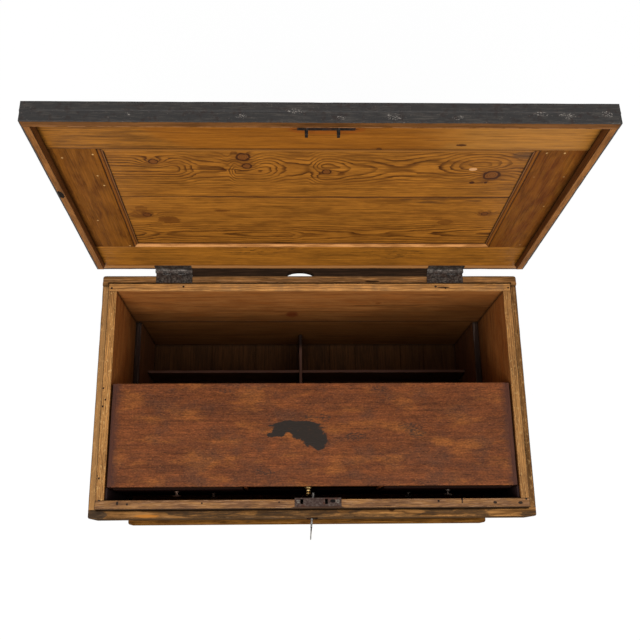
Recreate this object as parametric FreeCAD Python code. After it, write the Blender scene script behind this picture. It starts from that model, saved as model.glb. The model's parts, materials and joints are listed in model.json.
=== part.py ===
import FreeCAD, Part
import math
import os

# A carpenter's tool chest, standing open. Millimetres, +Z up, +X along the chest to the right,
# +Y towards the hinge side. The origin is on the ground, under the middle of the carcase.
# The lid is modelled closed and then swung open about its hinge pins.

# ---- carcase ----
BODY_LENGTH = 970.0            # over the skirt
BODY_DEPTH = 550.0             # over the skirt
BODY_HEIGHT = 454.0            # ground to rim
WALL = 19.0
FLOOR_THICKNESS = 20.0         # its underside is flush with the plinth's lower edge
FLOOR_PLANK_JOINTS = (-270.0, -146.0, 68.0, 143.0, 274.0, 341.0)
FLOOR_PLANK_GAP = 1.2
BACK_SEAM_BELOW_RIM = 222.0
DOVETAIL_PINS = 5
DOVETAIL_PIN_WIDTH = 14.0
DOVETAIL_SLOPE = 1.0 / 6.0

# ---- skirt and plinth ----
SKIRT_THICKNESS = 18.0
SKIRT_HEIGHT = 80.0
SKIRT_DROP = 20.0              # the front and end skirts stop this far below the rim
END_TAPER = 4.0                # the end skirts rise by this much towards the back
SKIRT_CHAMFER = 6.0
PLINTH_THICKNESS = 12.0
PLINTH_HEIGHT = 45.0
PLINTH_CHAMFER = 5.0

# ---- well ----
LEDGE_THICKNESS = 15.0
LEDGE_BELOW_RIM = 227.0
DIVIDER_THICKNESS = 8.0
DIVIDER_HEIGHT = 100.0
LONG_DIVIDER_Y = 132.7
CROSS_DIVIDER_X = -17.0

# ---- lid ----
LID_THICKNESS = 19.0
LID_GAP = 0.6                  # between the rim and the closed lid
LID_OPEN_ANGLE = 94.5
LIP_CLEARANCE = 2.5            # between a lip and the wall it closes over
LIP_REAR_CLEARANCE = 2.0
FRONT_RAIL_WIDTH = 99.0
REAR_RAIL_WIDTH = 105.0
STILE_WIDTH = 98.0
PANEL_RECESS = 5.0
PANEL_SEAM_Y = -19.3
PANEL_TONGUE = 6.0
PANEL_TONGUE_THICKNESS = 5.0
TENON_LENGTH = 30.0
TENON_WIDTH = 50.0
TENON_THICKNESS = 6.0
MOULDING_WIDTH = 10.0
MOULDING_QUIRK = 1.5

# ---- hinges ----
HINGE_LENGTH = 84.0
HINGE_X = (-317.0, 314.0)
HINGE_PIN_BEHIND = 11.3        # pin centre behind the rear skirt
LEAF_WIDTH = 28.3              # pin centre to the leaf's edge
LEAF_THICKNESS = 2.5
KNUCKLE_RADIUS = 6.0
KNUCKLE_COUNT = 5
KNUCKLE_CLEARANCE = 0.4
PIN_RADIUS = 2.5
PIN_FIT = 0.05
PIN_HEAD_RADIUS = 4.2
PIN_HEAD_THICKNESS = 1.6

# ---- lid stop ----
STOP_FROM_HINGE = 0.3
STOP_THICKNESS = 31.5
STOP_BELOW_RIM = 14.0
STOP_CLEARANCE = 0.3
STOP_SLOT_X = -25.0
STOP_SLOT_LENGTH = 65.0
STOP_SLOT_DEPTH = 12.0
STOP_SCREW_X = (-210.0, 30.0, 210.0)

# ---- lock ----
LOCK_X = (-39.0, 58.0)
LOCK_DEPTH = 16.5              # front to back of the case
LOCK_BEYOND_WALL = 3.0         # how far the case stands out into the chest
LOCK_HEIGHT = 70.0
LOCK_SHEET = 2.0
SELVEDGE_THICKNESS = 3.0
SELVEDGE_OVERLAP = 1.5
STAPLE_X = (-25.3, 27.5)
STAPLE_FROM_LOCK_FRONT = 9.0
STAPLE_THICKNESS = 5.0
STAPLE_WIDTH = 9.5
STAPLE_LENGTH = 22.0
STAPLE_EYE_WIDTH = 5.5
STAPLE_EYE_TOP = 7.5           # eye below the link plate
STAPLE_EYE_HEIGHT = 11.0
STAPLE_SLOT_CLEARANCE = 0.75
LINK_PLATE_X = (-40.0, 57.0)
LINK_PLATE_WIDTH = 29.0
LINK_PLATE_THICKNESS = 2.0
BOLT_THICKNESS = 4.0
BOLT_BAR_HEIGHT = 5.0
BOLT_CLEARANCE = 1.2
BOLT_TONGUE_LENGTH = 11.0
BOLT_TONGUE_HEIGHT = 6.0
BOLT_POST = 4.0
BOLT_EYE_CLEARANCE = 1.0
BOLT_GUIDE_X = (6.0, 33.0)
BOLT_GUIDE_WIDTH = 6.0
BOLT_GUIDE_FIT = 0.3
BOLT_GUIDE_GRIP = 3.0          # how far the guides reach up beside the bar
BOLT_TALON_WIDTH = 4.0
BOLT_TALON_FROM_KEY = 6.5
BOLT_TALON_BELOW_KEY = 9.0

# ---- key ----
KEY_X = -1.2
KEY_BELOW_RIM = 42.0
KEY_LEAN = 4.0                 # degrees, the key hangs a little sideways in its worn hole
KEY_RADIUS = 3.0
KEY_TIP_BEYOND_LOCK = 14.5
KEY_LENGTH = 101.0
KEY_BOW_RADIUS = 14.0
KEY_BOW_HOLE_RADIUS = 8.0
KEY_BOW_THICKNESS = 4.0
KEY_BIT_LENGTH = 13.0
KEY_BIT_THICKNESS = 3.0
KEY_BIT_WIDTH = 6.5
KEY_BIT_CLEARANCE = 0.7        # between the bit and the lock's front sheet
KEYHOLE_RADIUS = 5.05
KEYHOLE_SLOT_WIDTH = 7.0
KEYHOLE_SLOT_DEPTH = 15.0
ESCUTCHEON_WIDTH = 24.0
ESCUTCHEON_HEIGHT = 38.0
ESCUTCHEON_BELOW_KEY = 5.0
ESCUTCHEON_THICKNESS = 1.5
ESCUTCHEON_CORNER = 8.0

# ---- drop handles ----
HANDLE_PIVOT_BELOW_SKIRT = 48.0
HANDLE_PIVOT_OUT = 12.0        # pivot centre out from the end board
HANDLE_SPAN = 84.0             # between the centres of the bail's arms
HANDLE_DROP = 60.0
BAIL_RADIUS = 4.5
BAIL_FIT = 0.08
BAIL_BEND = 9.0
BAIL_CORNER = 18.0
EAR_LENGTH = 14.0
EAR_CLEARANCE = 1.0
EAR_BOSS_RADIUS = 9.0
EAR_PLATE_WIDTH = 34.0
EAR_PLATE_HEIGHT = 52.0
EAR_PLATE_THICKNESS = 3.0
EAR_PLATE_CORNER = 8.5
EAR_SCREW_RISE = 18.0

# ---- till ----
TILL_BELOW_RIM = 4.0
TILL_BEHIND_FRONT_BOARD = 28.5
TILL_DEPTH = 228.7
TILL_SIDE_CLEARANCE = 3.0
TILL_SEAT_CLEARANCE = 0.3
TILL_TOP_THICKNESS = 12.0
TILL_END_THICKNESS = 9.5
TILL_BACK_THICKNESS = 10.0
TILL_SHELF_THICKNESS = 10.0
UPPER_DRAWER_SPACE = 80.0
PARTITION_THICKNESS = 8.0
PARTITION_X = (-148.0, 150.0)
STRIP_THICKNESS = 5.5
STRIP_CLEARANCE = 0.5
STRIP_BELOW_RIM = 6.0

# ---- drawers ----
DRAWER_REAR_CLEARANCE = 14.7
DRAWER_FRONT = 12.0
DRAWER_SIDE = 8.0
DRAWER_BOTTOM = 5.0
DRAWER_BOTTOM_RAISE = 4.0
DRAWER_SIDE_CLEARANCE = 1.0
DRAWER_TOP_CLEARANCE = 1.5
DRAWER_SEAT_CLEARANCE = 0.3
DRAWER_SIDE_BELOW_FRONT = 3.0
DRAWER_PULLED_OUT = {"left": 5.0, "middle": -3.0, "right": 4.5, "lower": 0.0}
LOWER_KNOB_X = (-230.0, 232.0)

# ---- knobs ----
IRON_KNOB_LENGTH = 12.5
IRON_KNOB_RADIUS = 10.0
IRON_KNOB_DISC = 2.0
IRON_KNOB_CROWN = 2.5
IRON_KNOB_STEM = 2.6
IRON_KNOB_FLANGE = 5.5
IRON_KNOB_FLANGE_THICKNESS = 2.5
BRASS_KNOB_LENGTH = 20.0
BRASS_KNOB_BASE = 8.0
BRASS_KNOB_BASE_THICKNESS = 3.0
BRASS_KNOB_WAIST = 4.6
BRASS_KNOB_HEAD = 7.0
BRASS_KNOB_CROWN = 6.5
KNOB_X = {"left": -301.5, "middle": -9.5, "right": 302.5}

# ---- screws ----
SCREW_HEAD_RADIUS = 4.0
SCREW_HEAD_THICKNESS = 2.0
SCREW_SHANK_RADIUS = 1.8
SCREW_LENGTH = 14.0
SCREW_SLOT = 0.9
HINGE_SCREW_SPACING = 27.0
HINGE_SCREW_FROM_EDGE = 8.5

# ---- places worked out from the sizes above ----
RIM = BODY_HEIGHT
SKIRT_X = BODY_LENGTH / 2
SKIRT_Y = BODY_DEPTH / 2
WALL_X = SKIRT_X - SKIRT_THICKNESS
WALL_Y = SKIRT_Y - SKIRT_THICKNESS
INNER_X = WALL_X - WALL
INNER_Y = WALL_Y - WALL
LEDGE_TOP = RIM - LEDGE_BELOW_RIM
LEDGE_X = INNER_X - LEDGE_THICKNESS
LID_UNDER = RIM + LID_GAP
LID_TOP = LID_UNDER + LID_THICKNESS
PIN_Y = SKIRT_Y + HINGE_PIN_BEHIND
PIN_Z = RIM + LID_GAP / 2
LEAF_EDGE_Y = PIN_Y - LEAF_WIDTH
LOCK_BACK_Y = -INNER_Y + LOCK_BEYOND_WALL
LOCK_FRONT_Y = LOCK_BACK_Y - LOCK_DEPTH
KEY_Z = RIM - KEY_BELOW_RIM
STAPLE_Y = LOCK_FRONT_Y + STAPLE_FROM_LOCK_FRONT
HANDLE_X = WALL_X + HANDLE_PIVOT_OUT
HANDLE_Z = RIM - SKIRT_DROP - SKIRT_HEIGHT - HANDLE_PIVOT_BELOW_SKIRT
TILL_FRONT_Y = -INNER_Y + TILL_BEHIND_FRONT_BOARD
DRAWER_DEPTH = TILL_DEPTH - TILL_BACK_THICKNESS - DRAWER_REAR_CLEARANCE

parts = {}


def block(x, y, z):
    """A box between two values on each axis."""
    return Part.makeBox(x[1] - x[0], y[1] - y[0], z[1] - z[0], FreeCAD.Vector(x[0], y[0], z[0]))


def around(centre, width):
    return (centre - width / 2, centre + width / 2)


def rod(start, end, radius):
    """A round bar from start to end."""
    a = FreeCAD.Vector(*start)
    along = FreeCAD.Vector(*end) - a
    return Part.makeCylinder(radius, along.Length, a, along)


def prism(points, travel):
    """A flat outline pushed along travel."""
    corners = [FreeCAD.Vector(*p) for p in points]
    outline = Part.makePolygon(corners + corners[:1])
    return Part.Face(outline).extrude(FreeCAD.Vector(*travel))


def fuse(shapes):
    return shapes[0].multiFuse(shapes[1:]).removeSplitter()


def edges_along(shape, direction):
    """The straight edges of shape that run along direction."""
    way = FreeCAD.Vector(*direction)
    return [edge for edge in shape.Edges if edge.tangentAt(edge.FirstParameter).cross(way).Length < 1e-6]


def mirrored_x(shape):
    return shape.mirror(FreeCAD.Vector(0, 0, 0), FreeCAD.Vector(1, 0, 0))


def opened(shape):
    """A lid piece, swung from closed to open about the hinge pins."""
    turned = shape.copy()
    turned.rotate(FreeCAD.Vector(0, PIN_Y, PIN_Z), FreeCAD.Vector(1, 0, 0), -LID_OPEN_ANGLE)
    return turned


def screw(x, y, z, direction):
    """A slotted wood screw. Its head's face is at x, y, z and its shank points along direction."""
    head = FreeCAD.Vector(x, y, z)
    way = FreeCAD.Vector(*direction)
    body = fuse([
        Part.makeCylinder(SCREW_HEAD_RADIUS, SCREW_HEAD_THICKNESS, head, way),
        Part.makeCylinder(SCREW_SHANK_RADIUS, SCREW_LENGTH, head, way),
    ])
    across = SCREW_HEAD_RADIUS * 2
    slot = Part.makeBox(across, SCREW_SLOT, SCREW_SLOT)
    slot.translate(FreeCAD.Vector(-across / 2, -SCREW_SLOT / 2, 0))
    slot.Placement = FreeCAD.Placement(head, FreeCAD.Rotation(FreeCAD.Vector(0, 0, 1), way)).multiply(
        slot.Placement)
    return body.cut(slot)


def drive(screws, targets):
    """Cuts the screws' holes in the pieces that they go through."""
    for name in targets:
        for hole in screws:
            parts[name] = [piece.cut(hole) for piece in parts[name]]


# ---- carcase ----

def dovetail_pins(x_side, y):
    """The pins at one corner, which taper towards the end of the board that they go through."""
    pitch = (RIM - FLOOR_THICKNESS) / (DOVETAIL_PINS + 1)
    outer = DOVETAIL_PIN_WIDTH / 2
    inner = outer + WALL * DOVETAIL_SLOPE
    pins = []
    for index in range(1, DOVETAIL_PINS + 1):
        z = FLOOR_THICKNESS + index * pitch
        corners = [(INNER_X, z - inner), (WALL_X, z - outer), (WALL_X, z + outer), (INNER_X, z + inner)]
        outline = [(x_side * x, y[0], height) for x, height in corners]
        pins.append(prism(outline, (0, y[1] - y[0], 0)))
    return pins


def carcase():
    front = block((-WALL_X, WALL_X), (-WALL_Y, -INNER_Y), (FLOOR_THICKNESS, RIM))
    back = block((-WALL_X, WALL_X), (INNER_Y, WALL_Y), (FLOOR_THICKNESS, RIM))
    for name, side in (("left", -1), ("right", 1)):
        front_pins = dovetail_pins(side, (-WALL_Y, -INNER_Y))
        back_pins = dovetail_pins(side, (INNER_Y, WALL_Y))
        x = sorted((side * INNER_X, side * WALL_X))
        board = block(x, (-INNER_Y, INNER_Y), (FLOOR_THICKNESS, RIM))
        parts[f"{name}_end_board"] = [fuse([board] + front_pins + back_pins)]
        for pin in front_pins:
            front = front.cut(pin)
        for pin in back_pins:
            back = back.cut(pin)
    seam = RIM - BACK_SEAM_BELOW_RIM
    over = block((-SKIRT_X, SKIRT_X), (0, SKIRT_Y), (seam, RIM))
    parts["front_board"] = [front]
    parts["back_board_upper"] = [back.common(over)]
    parts["back_board_lower"] = [back.cut(over)]
    edges = (-WALL_X,) + FLOOR_PLANK_JOINTS + (WALL_X,)
    planks = []
    for left, right in zip(edges, edges[1:]):
        start = left if left == -WALL_X else left + FLOOR_PLANK_GAP / 2
        end = right if right == WALL_X else right - FLOOR_PLANK_GAP / 2
        planks.append(block((start, end), (-WALL_Y, WALL_Y), (0, FLOOR_THICKNESS)))
    parts["floor_planks"] = planks


def strip(length, y_inner, y_outer, z, chamfer_top, chamfer):
    """A board along X on the outside of the carcase, with one outer long edge chamfered."""
    out = math.copysign(1.0, y_outer)
    bottom, top = z
    if chamfer_top:
        outline = [(y_inner, bottom), (y_outer, bottom), (y_outer, top - chamfer),
                   (y_outer - out * chamfer, top), (y_inner, top)]
    else:
        outline = [(y_inner, bottom), (y_outer - out * chamfer, bottom), (y_outer, bottom + chamfer),
                   (y_outer, top), (y_inner, top)]
    return prism([(-length / 2, y, height) for y, height in outline], (length, 0, 0))


def turned_to_end(board, side):
    """A strip made along X, turned about Z to lie on the left (-1) or right (1) end."""
    turned = board.copy()
    turned.rotate(FreeCAD.Vector(0, 0, 0), FreeCAD.Vector(0, 0, 1), 90.0 * side)
    return turned


def skirt_and_plinth():
    low = RIM - SKIRT_DROP - SKIRT_HEIGHT
    side_z = (low, RIM - SKIRT_DROP)
    parts["skirt_front"] = [strip(BODY_LENGTH, -WALL_Y, -SKIRT_Y, side_z, False, SKIRT_CHAMFER)]
    parts["skirt_rear"] = [strip(BODY_LENGTH, WALL_Y, SKIRT_Y, (low, RIM), False, SKIRT_CHAMFER)]
    end = strip(2 * WALL_Y, -WALL_X, -SKIRT_X, (low, RIM), False, SKIRT_CHAMFER)
    above = prism([(-SKIRT_X, y, z) for y, z in [
        (-WALL_Y, side_z[1]), (WALL_Y, side_z[1] + END_TAPER), (WALL_Y, RIM), (-WALL_Y, RIM)]],
        (BODY_LENGTH, 0, 0))
    parts["skirt_ends"] = [turned_to_end(end, side).cut(above) for side in (-1, 1)]
    foot = (0, PLINTH_HEIGHT)
    out_x = WALL_X + PLINTH_THICKNESS
    out_y = WALL_Y + PLINTH_THICKNESS
    parts["plinth_front"] = [strip(2 * out_x, -WALL_Y, -out_y, foot, True, PLINTH_CHAMFER)]
    parts["plinth_rear"] = [strip(2 * out_x, WALL_Y, out_y, foot, True, PLINTH_CHAMFER)]
    end = strip(2 * WALL_Y, -WALL_X, -out_x, foot, True, PLINTH_CHAMFER)
    parts["plinth_ends"] = [turned_to_end(end, side) for side in (-1, 1)]


def well():
    """Ledges that carry the till, the low dividers, and the strips that stop the till in front."""
    for name, side in (("left", -1), ("right", 1)):
        x = sorted((side * LEDGE_X, side * INNER_X))
        parts[f"till_ledge_{name}"] = [block(x, (-INNER_Y, INNER_Y), (FLOOR_THICKNESS, LEDGE_TOP))]
    z = (FLOOR_THICKNESS, FLOOR_THICKNESS + DIVIDER_HEIGHT)
    halfway = FLOOR_THICKNESS + DIVIDER_HEIGHT / 2
    long_y = around(LONG_DIVIDER_Y, DIVIDER_THICKNESS)
    cross_x = around(CROSS_DIVIDER_X, DIVIDER_THICKNESS)
    long_divider = block((-LEDGE_X, LEDGE_X), long_y, z)
    cross_divider = block(cross_x, (-INNER_Y, INNER_Y), z)
    parts["well_divider_long"] = [long_divider.cut(block(cross_x, long_y, (halfway, z[1])))]
    parts["well_divider_cross"] = [cross_divider.cut(block(cross_x, long_y, (z[0], halfway)))]
    strips = []
    for side in (-1, 1):
        x = sorted((side * (INNER_X - STRIP_THICKNESS), side * INNER_X))
        y = (-INNER_Y, TILL_FRONT_Y - STRIP_CLEARANCE)
        strips.append(block(x, y, (LEDGE_TOP, RIM - STRIP_BELOW_RIM)))
    parts["till_stop_strips"] = strips


def lid_stop():
    """The batten behind the rim, bevelled to meet the open lid's rear edge, with a finger slot
    and notches around the heads of the hinge pins."""
    angle = math.radians(LID_OPEN_ANGLE)
    up = (-math.cos(angle), math.sin(angle))
    back = (math.sin(angle), math.cos(angle))
    reach = HINGE_PIN_BEHIND - STOP_CLEARANCE
    rear = SKIRT_Y + STOP_THICKNESS
    start_y = PIN_Y + up[0] * reach + back[0] * STOP_CLEARANCE
    start_z = PIN_Z + up[1] * reach + back[1] * STOP_CLEARANCE
    end_z = start_z + (rear - start_y) * back[1] / back[0]
    outline = [(SKIRT_Y, RIM - STOP_BELOW_RIM), (rear, RIM - STOP_BELOW_RIM), (rear, end_z),
               (start_y, start_z), (SKIRT_Y, RIM - LID_GAP)]
    from_hinge = HINGE_LENGTH / 2 + STOP_FROM_HINGE
    start_x = min(HINGE_X) + from_hinge
    length = max(HINGE_X) - from_hinge - start_x
    batten = prism([(start_x, y, z) for y, z in outline], (length, 0, 0))
    notch = PIN_HEAD_THICKNESS + STOP_CLEARANCE
    for x in HINGE_X:
        left, right = around(x, HINGE_LENGTH + 2 * notch)
        batten = batten.cut(rod((left, PIN_Y, PIN_Z), (right, PIN_Y, PIN_Z),
                                PIN_HEAD_RADIUS + STOP_CLEARANCE))
    slot = Part.Ellipse(FreeCAD.Vector(STOP_SLOT_X, SKIRT_Y, 0), STOP_SLOT_LENGTH / 2, STOP_SLOT_DEPTH)
    face = Part.Face(Part.Wire(slot.toShape()))
    parts["lid_stop_batten"] = [batten.cut(face.extrude(FreeCAD.Vector(0, 0, 2 * RIM)))]
    middle = RIM - STOP_BELOW_RIM / 2
    fixings = [screw(x, rear, middle, (0, -1, 0)) for x in STOP_SCREW_X]
    for fixing in fixings:
        parts["lid_stop_batten"] = [piece.cut(fixing) for piece in parts["lid_stop_batten"]]
    return fixings


# ---- lid ----

def lid_frame():
    opening_x = SKIRT_X - STILE_WIDTH
    opening_y = (-SKIRT_Y + FRONT_RAIL_WIDTH, SKIRT_Y - REAR_RAIL_WIDTH)
    z = (LID_UNDER, LID_TOP)
    tongue_z = around((LID_UNDER + LID_TOP) / 2, PANEL_TONGUE_THICKNESS)
    tenon_z = around((LID_UNDER + LID_TOP) / 2, TENON_THICKNESS)
    tongues = block((-opening_x - PANEL_TONGUE, opening_x + PANEL_TONGUE),
                    (opening_y[0] - PANEL_TONGUE, opening_y[1] + PANEL_TONGUE), tongue_z)
    rails = {"front": block((-SKIRT_X, SKIRT_X), (-SKIRT_Y, opening_y[0]), z).cut(tongues),
             "rear": block((-SKIRT_X, SKIRT_X), (opening_y[1], SKIRT_Y), z).cut(tongues)}
    for name, side in (("left", -1), ("right", 1)):
        x = sorted((side * opening_x, side * SKIRT_X))
        tenon_x = around(side * (opening_x + SKIRT_X) / 2, TENON_WIDTH)
        tenons = block(tenon_x, (opening_y[0] - TENON_LENGTH, opening_y[1] + TENON_LENGTH), tenon_z)
        stile = fuse([block(x, opening_y, z).cut(tongues), tenons])
        parts[f"lid_stile_{name}"] = [stile]
        rails = {place: rail.cut(tenons) for place, rail in rails.items()}
    for place, rail in rails.items():
        parts[f"lid_rail_{place}"] = [rail]
    field = block((-opening_x, opening_x), opening_y, (LID_UNDER + PANEL_RECESS, LID_TOP))
    panel = fuse([field, tongues])
    rear_half = block((-SKIRT_X, SKIRT_X), (PANEL_SEAM_Y, SKIRT_Y), z)
    parts["lid_panel_front"] = [panel.cut(rear_half)]
    parts["lid_panel_rear"] = [panel.common(rear_half)]
    parts["lid_moulding"] = panel_moulding(opening_x, opening_y)


def panel_moulding(opening_x, opening_y):
    """Four mitred lengths of hollow moulding around the panel."""
    outer = [(-opening_x, opening_y[0]), (opening_x, opening_y[0]),
             (opening_x, opening_y[1]), (-opening_x, opening_y[1])]
    inward = ((1, 1), (-1, 1), (-1, -1), (1, -1))
    inner = [(x + MOULDING_WIDTH * dx, y + MOULDING_WIDTH * dy) for (x, y), (dx, dy) in zip(outer, inward)]
    lengths = []
    for index in range(len(outer)):
        following = (index + 1) % len(outer)
        plan = [outer[index], outer[following], inner[following], inner[index]]
        mitred = prism([(x, y, LID_UNDER) for x, y in plan], (0, 0, PANEL_RECESS))
        lengths.append(mitred.cut(moulding_hollow(outer[index], outer[following])))
    return lengths


def moulding_hollow(start, end):
    """What the hollow takes away along one length: a quarter-round cove beside the quirk."""
    along = FreeCAD.Vector(end[0] - start[0], end[1] - start[1], 0)
    inward = FreeCAD.Vector(-along.y, along.x, 0).normalize()
    width = MOULDING_WIDTH - MOULDING_QUIRK
    depth = PANEL_RECESS - MOULDING_QUIRK

    def place(across, height):
        base = FreeCAD.Vector(start[0], start[1], LID_UNDER)
        return base + inward * (MOULDING_QUIRK + across) + FreeCAD.Vector(0, 0, height)

    sag = 1.0 - math.sqrt(0.5)
    curve = Part.Arc(place(0, 0), place(width * sag, depth * (1.0 - sag)), place(width, depth)).toShape()
    side = Part.makeLine(place(width, depth), place(width, 0))
    closing = Part.makeLine(place(width, 0), place(0, 0))
    return Part.Face(Part.Wire([curve, side, closing])).extrude(along)


def lid_lips():
    thickness = SKIRT_THICKNESS - LIP_CLEARANCE
    low = (LID_UNDER - SKIRT_DROP, LID_UNDER)
    inner_y = -SKIRT_Y + thickness
    parts["lid_lip_front"] = [block((-SKIRT_X, SKIRT_X), (-SKIRT_Y, inner_y), low)]
    rear_end = WALL_Y - LIP_REAR_CLEARANCE
    profile = [(inner_y, low[0]), (rear_end, low[0] + END_TAPER), (rear_end, LID_UNDER),
               (inner_y, LID_UNDER)]
    parts["lid_lips_side"] = [
        prism([(side * SKIRT_X, y, z) for y, z in profile], (-side * thickness, 0, 0))
        for side in (-1, 1)]


# ---- hinges ----

def hinge_leaf(x, plate_z, segments):
    """One leaf with its knuckles, around the pin."""
    pitch = HINGE_LENGTH / KNUCKLE_COUNT
    span = around(x, HINGE_LENGTH)
    clear = PIN_Y - KNUCKLE_RADIUS - KNUCKLE_CLEARANCE
    solids = [block(span, (LEAF_EDGE_Y, clear), plate_z)]
    for index in segments:
        start = span[0] + index * pitch + KNUCKLE_CLEARANCE / 2
        end = span[0] + (index + 1) * pitch - KNUCKLE_CLEARANCE / 2
        solids.append(block((start, end), (clear, PIN_Y), plate_z))
        solids.append(rod((start, PIN_Y, PIN_Z), (end, PIN_Y, PIN_Z), KNUCKLE_RADIUS))
    bore = rod((span[0], PIN_Y, PIN_Z), (span[1], PIN_Y, PIN_Z), PIN_RADIUS + PIN_FIT)
    return fuse(solids).cut(bore)


def hinges():
    lower_z = (RIM - LEAF_THICKNESS, RIM)
    upper_z = (LID_UNDER, LID_UNDER + LEAF_THICKNESS)
    lower = [hinge_leaf(x, lower_z, range(0, KNUCKLE_COUNT, 2)) for x in HINGE_X]
    upper = [hinge_leaf(x, upper_z, range(1, KNUCKLE_COUNT, 2)) for x in HINGE_X]
    pins = []
    for x in HINGE_X:
        left, right = around(x, HINGE_LENGTH)
        ends = ((left - PIN_HEAD_THICKNESS, left), (right, right + PIN_HEAD_THICKNESS))
        heads = [rod((a, PIN_Y, PIN_Z), (b, PIN_Y, PIN_Z), PIN_HEAD_RADIUS) for a, b in ends]
        pins.append(fuse([rod((left, PIN_Y, PIN_Z), (right, PIN_Y, PIN_Z), PIN_RADIUS)] + heads))
    parts["hinge_leaves_lower"] = lower
    parts["hinge_leaves_upper"] = upper
    parts["hinge_pins"] = pins
    recess_y = (LEAF_EDGE_Y, SKIRT_Y)
    recessed = (("skirt_rear", lower_z), ("back_board_upper", lower_z), ("lid_rail_rear", upper_z))
    for x in HINGE_X:
        span = around(x, HINGE_LENGTH)
        for node, z in recessed:
            parts[node] = [parts[node][0].cut(block(span, recess_y, z))]
    screw_y = LEAF_EDGE_Y + HINGE_SCREW_FROM_EDGE
    places = [x + step * HINGE_SCREW_SPACING for x in HINGE_X for step in (-1, 0, 1)]
    down = [screw(x, screw_y, RIM, (0, 0, -1)) for x in places]
    up = [screw(x, screw_y, LID_UNDER, (0, 0, 1)) for x in places]
    drive(down, ("hinge_leaves_lower", "skirt_rear"))
    drive(up, ("hinge_leaves_upper", "lid_rail_rear"))
    return down, up


# ---- lock and key ----

def key_bore(y):
    return rod((KEY_X, y[0], KEY_Z), (KEY_X, y[1], KEY_Z), KEYHOLE_RADIUS)


def keyhole(y):
    """A keyhole through y: a round hole with a slot hanging from it."""
    slot_z = (KEY_Z - KEYHOLE_SLOT_DEPTH, KEY_Z)
    return fuse([key_bore(y), block(around(KEY_X, KEYHOLE_SLOT_WIDTH), y, slot_z)])


def bolt_bar_z():
    """The bottom and top of the bolt's bar, which slides under the staples' ends."""
    top = LID_UNDER - STAPLE_LENGTH - BOLT_CLEARANCE
    return (top - BOLT_BAR_HEIGHT, top)


def bolt_guides(inside_y):
    """Two notched blocks across the lock case that the bolt's bar slides in."""
    bar_bottom = bolt_bar_z()[0]
    z = (bar_bottom - BOLT_BAR_HEIGHT, bar_bottom + BOLT_GUIDE_GRIP)
    notch_y = around(STAPLE_Y, BOLT_THICKNESS + 2 * BOLT_GUIDE_FIT)
    notch = block(LOCK_X, notch_y, (bar_bottom - BOLT_GUIDE_FIT, z[1]))
    return [block(around(x, BOLT_GUIDE_WIDTH), inside_y, z).cut(notch) for x in BOLT_GUIDE_X]


def staple_slots():
    width = STAPLE_THICKNESS + 2 * STAPLE_SLOT_CLEARANCE
    length = STAPLE_WIDTH + 2 * STAPLE_SLOT_CLEARANCE
    z = (RIM - SELVEDGE_THICKNESS, RIM)
    return [block(around(x, width), around(STAPLE_Y, length), z) for x in STAPLE_X]


def lock():
    y = (LOCK_FRONT_Y, LOCK_BACK_Y)
    case_z = (RIM - LOCK_HEIGHT, RIM - SELVEDGE_THICKNESS)
    case = block(LOCK_X, y, case_z)
    inside_x = (LOCK_X[0] + LOCK_SHEET, LOCK_X[1] - LOCK_SHEET)
    inside_y = (y[0] + LOCK_SHEET, y[1] - LOCK_SHEET)
    hollow = block(inside_x, inside_y, (case_z[0] + LOCK_SHEET, case_z[1]))
    through = (-SKIRT_Y - ESCUTCHEON_THICKNESS, LOCK_FRONT_Y + LOCK_SHEET)
    entry = keyhole(through)
    exit_hole = key_bore((inside_y[1], y[1]))
    selvedge_x = (LOCK_X[0] - SELVEDGE_OVERLAP, LOCK_X[1] + SELVEDGE_OVERLAP)
    selvedge_y = (y[0] - SELVEDGE_OVERLAP, y[1])
    selvedge = block(selvedge_x, selvedge_y, (case_z[1], RIM))
    pocket = fuse([case, selvedge])
    for slot in staple_slots():
        selvedge = selvedge.cut(slot)
    shell = case.cut(hollow).cut(entry).cut(exit_hole)
    parts["lock_case"] = [shell] + bolt_guides(inside_y)
    parts["lock_selvedge"] = [selvedge]
    parts["front_board"] = [parts["front_board"][0].cut(pocket).cut(entry)]
    parts["skirt_front"] = [parts["skirt_front"][0].cut(entry)]
    plate = block(around(KEY_X, ESCUTCHEON_WIDTH), (-SKIRT_Y - ESCUTCHEON_THICKNESS, -SKIRT_Y),
                  around(KEY_Z - ESCUTCHEON_BELOW_KEY, ESCUTCHEON_HEIGHT))
    parts["escutcheon"] = [plate.makeFillet(ESCUTCHEON_CORNER, edges_along(plate, (0, 1, 0))).cut(entry)]
    inset = SCREW_HEAD_RADIUS + SELVEDGE_OVERLAP
    screw_x = (LOCK_X[0] + inset, LOCK_X[1] - inset)
    fixings = [screw(x, STAPLE_Y, RIM, (0, 0, -1)).common(selvedge) for x in screw_x]
    drive(fixings, ("lock_selvedge",))
    return fixings


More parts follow.
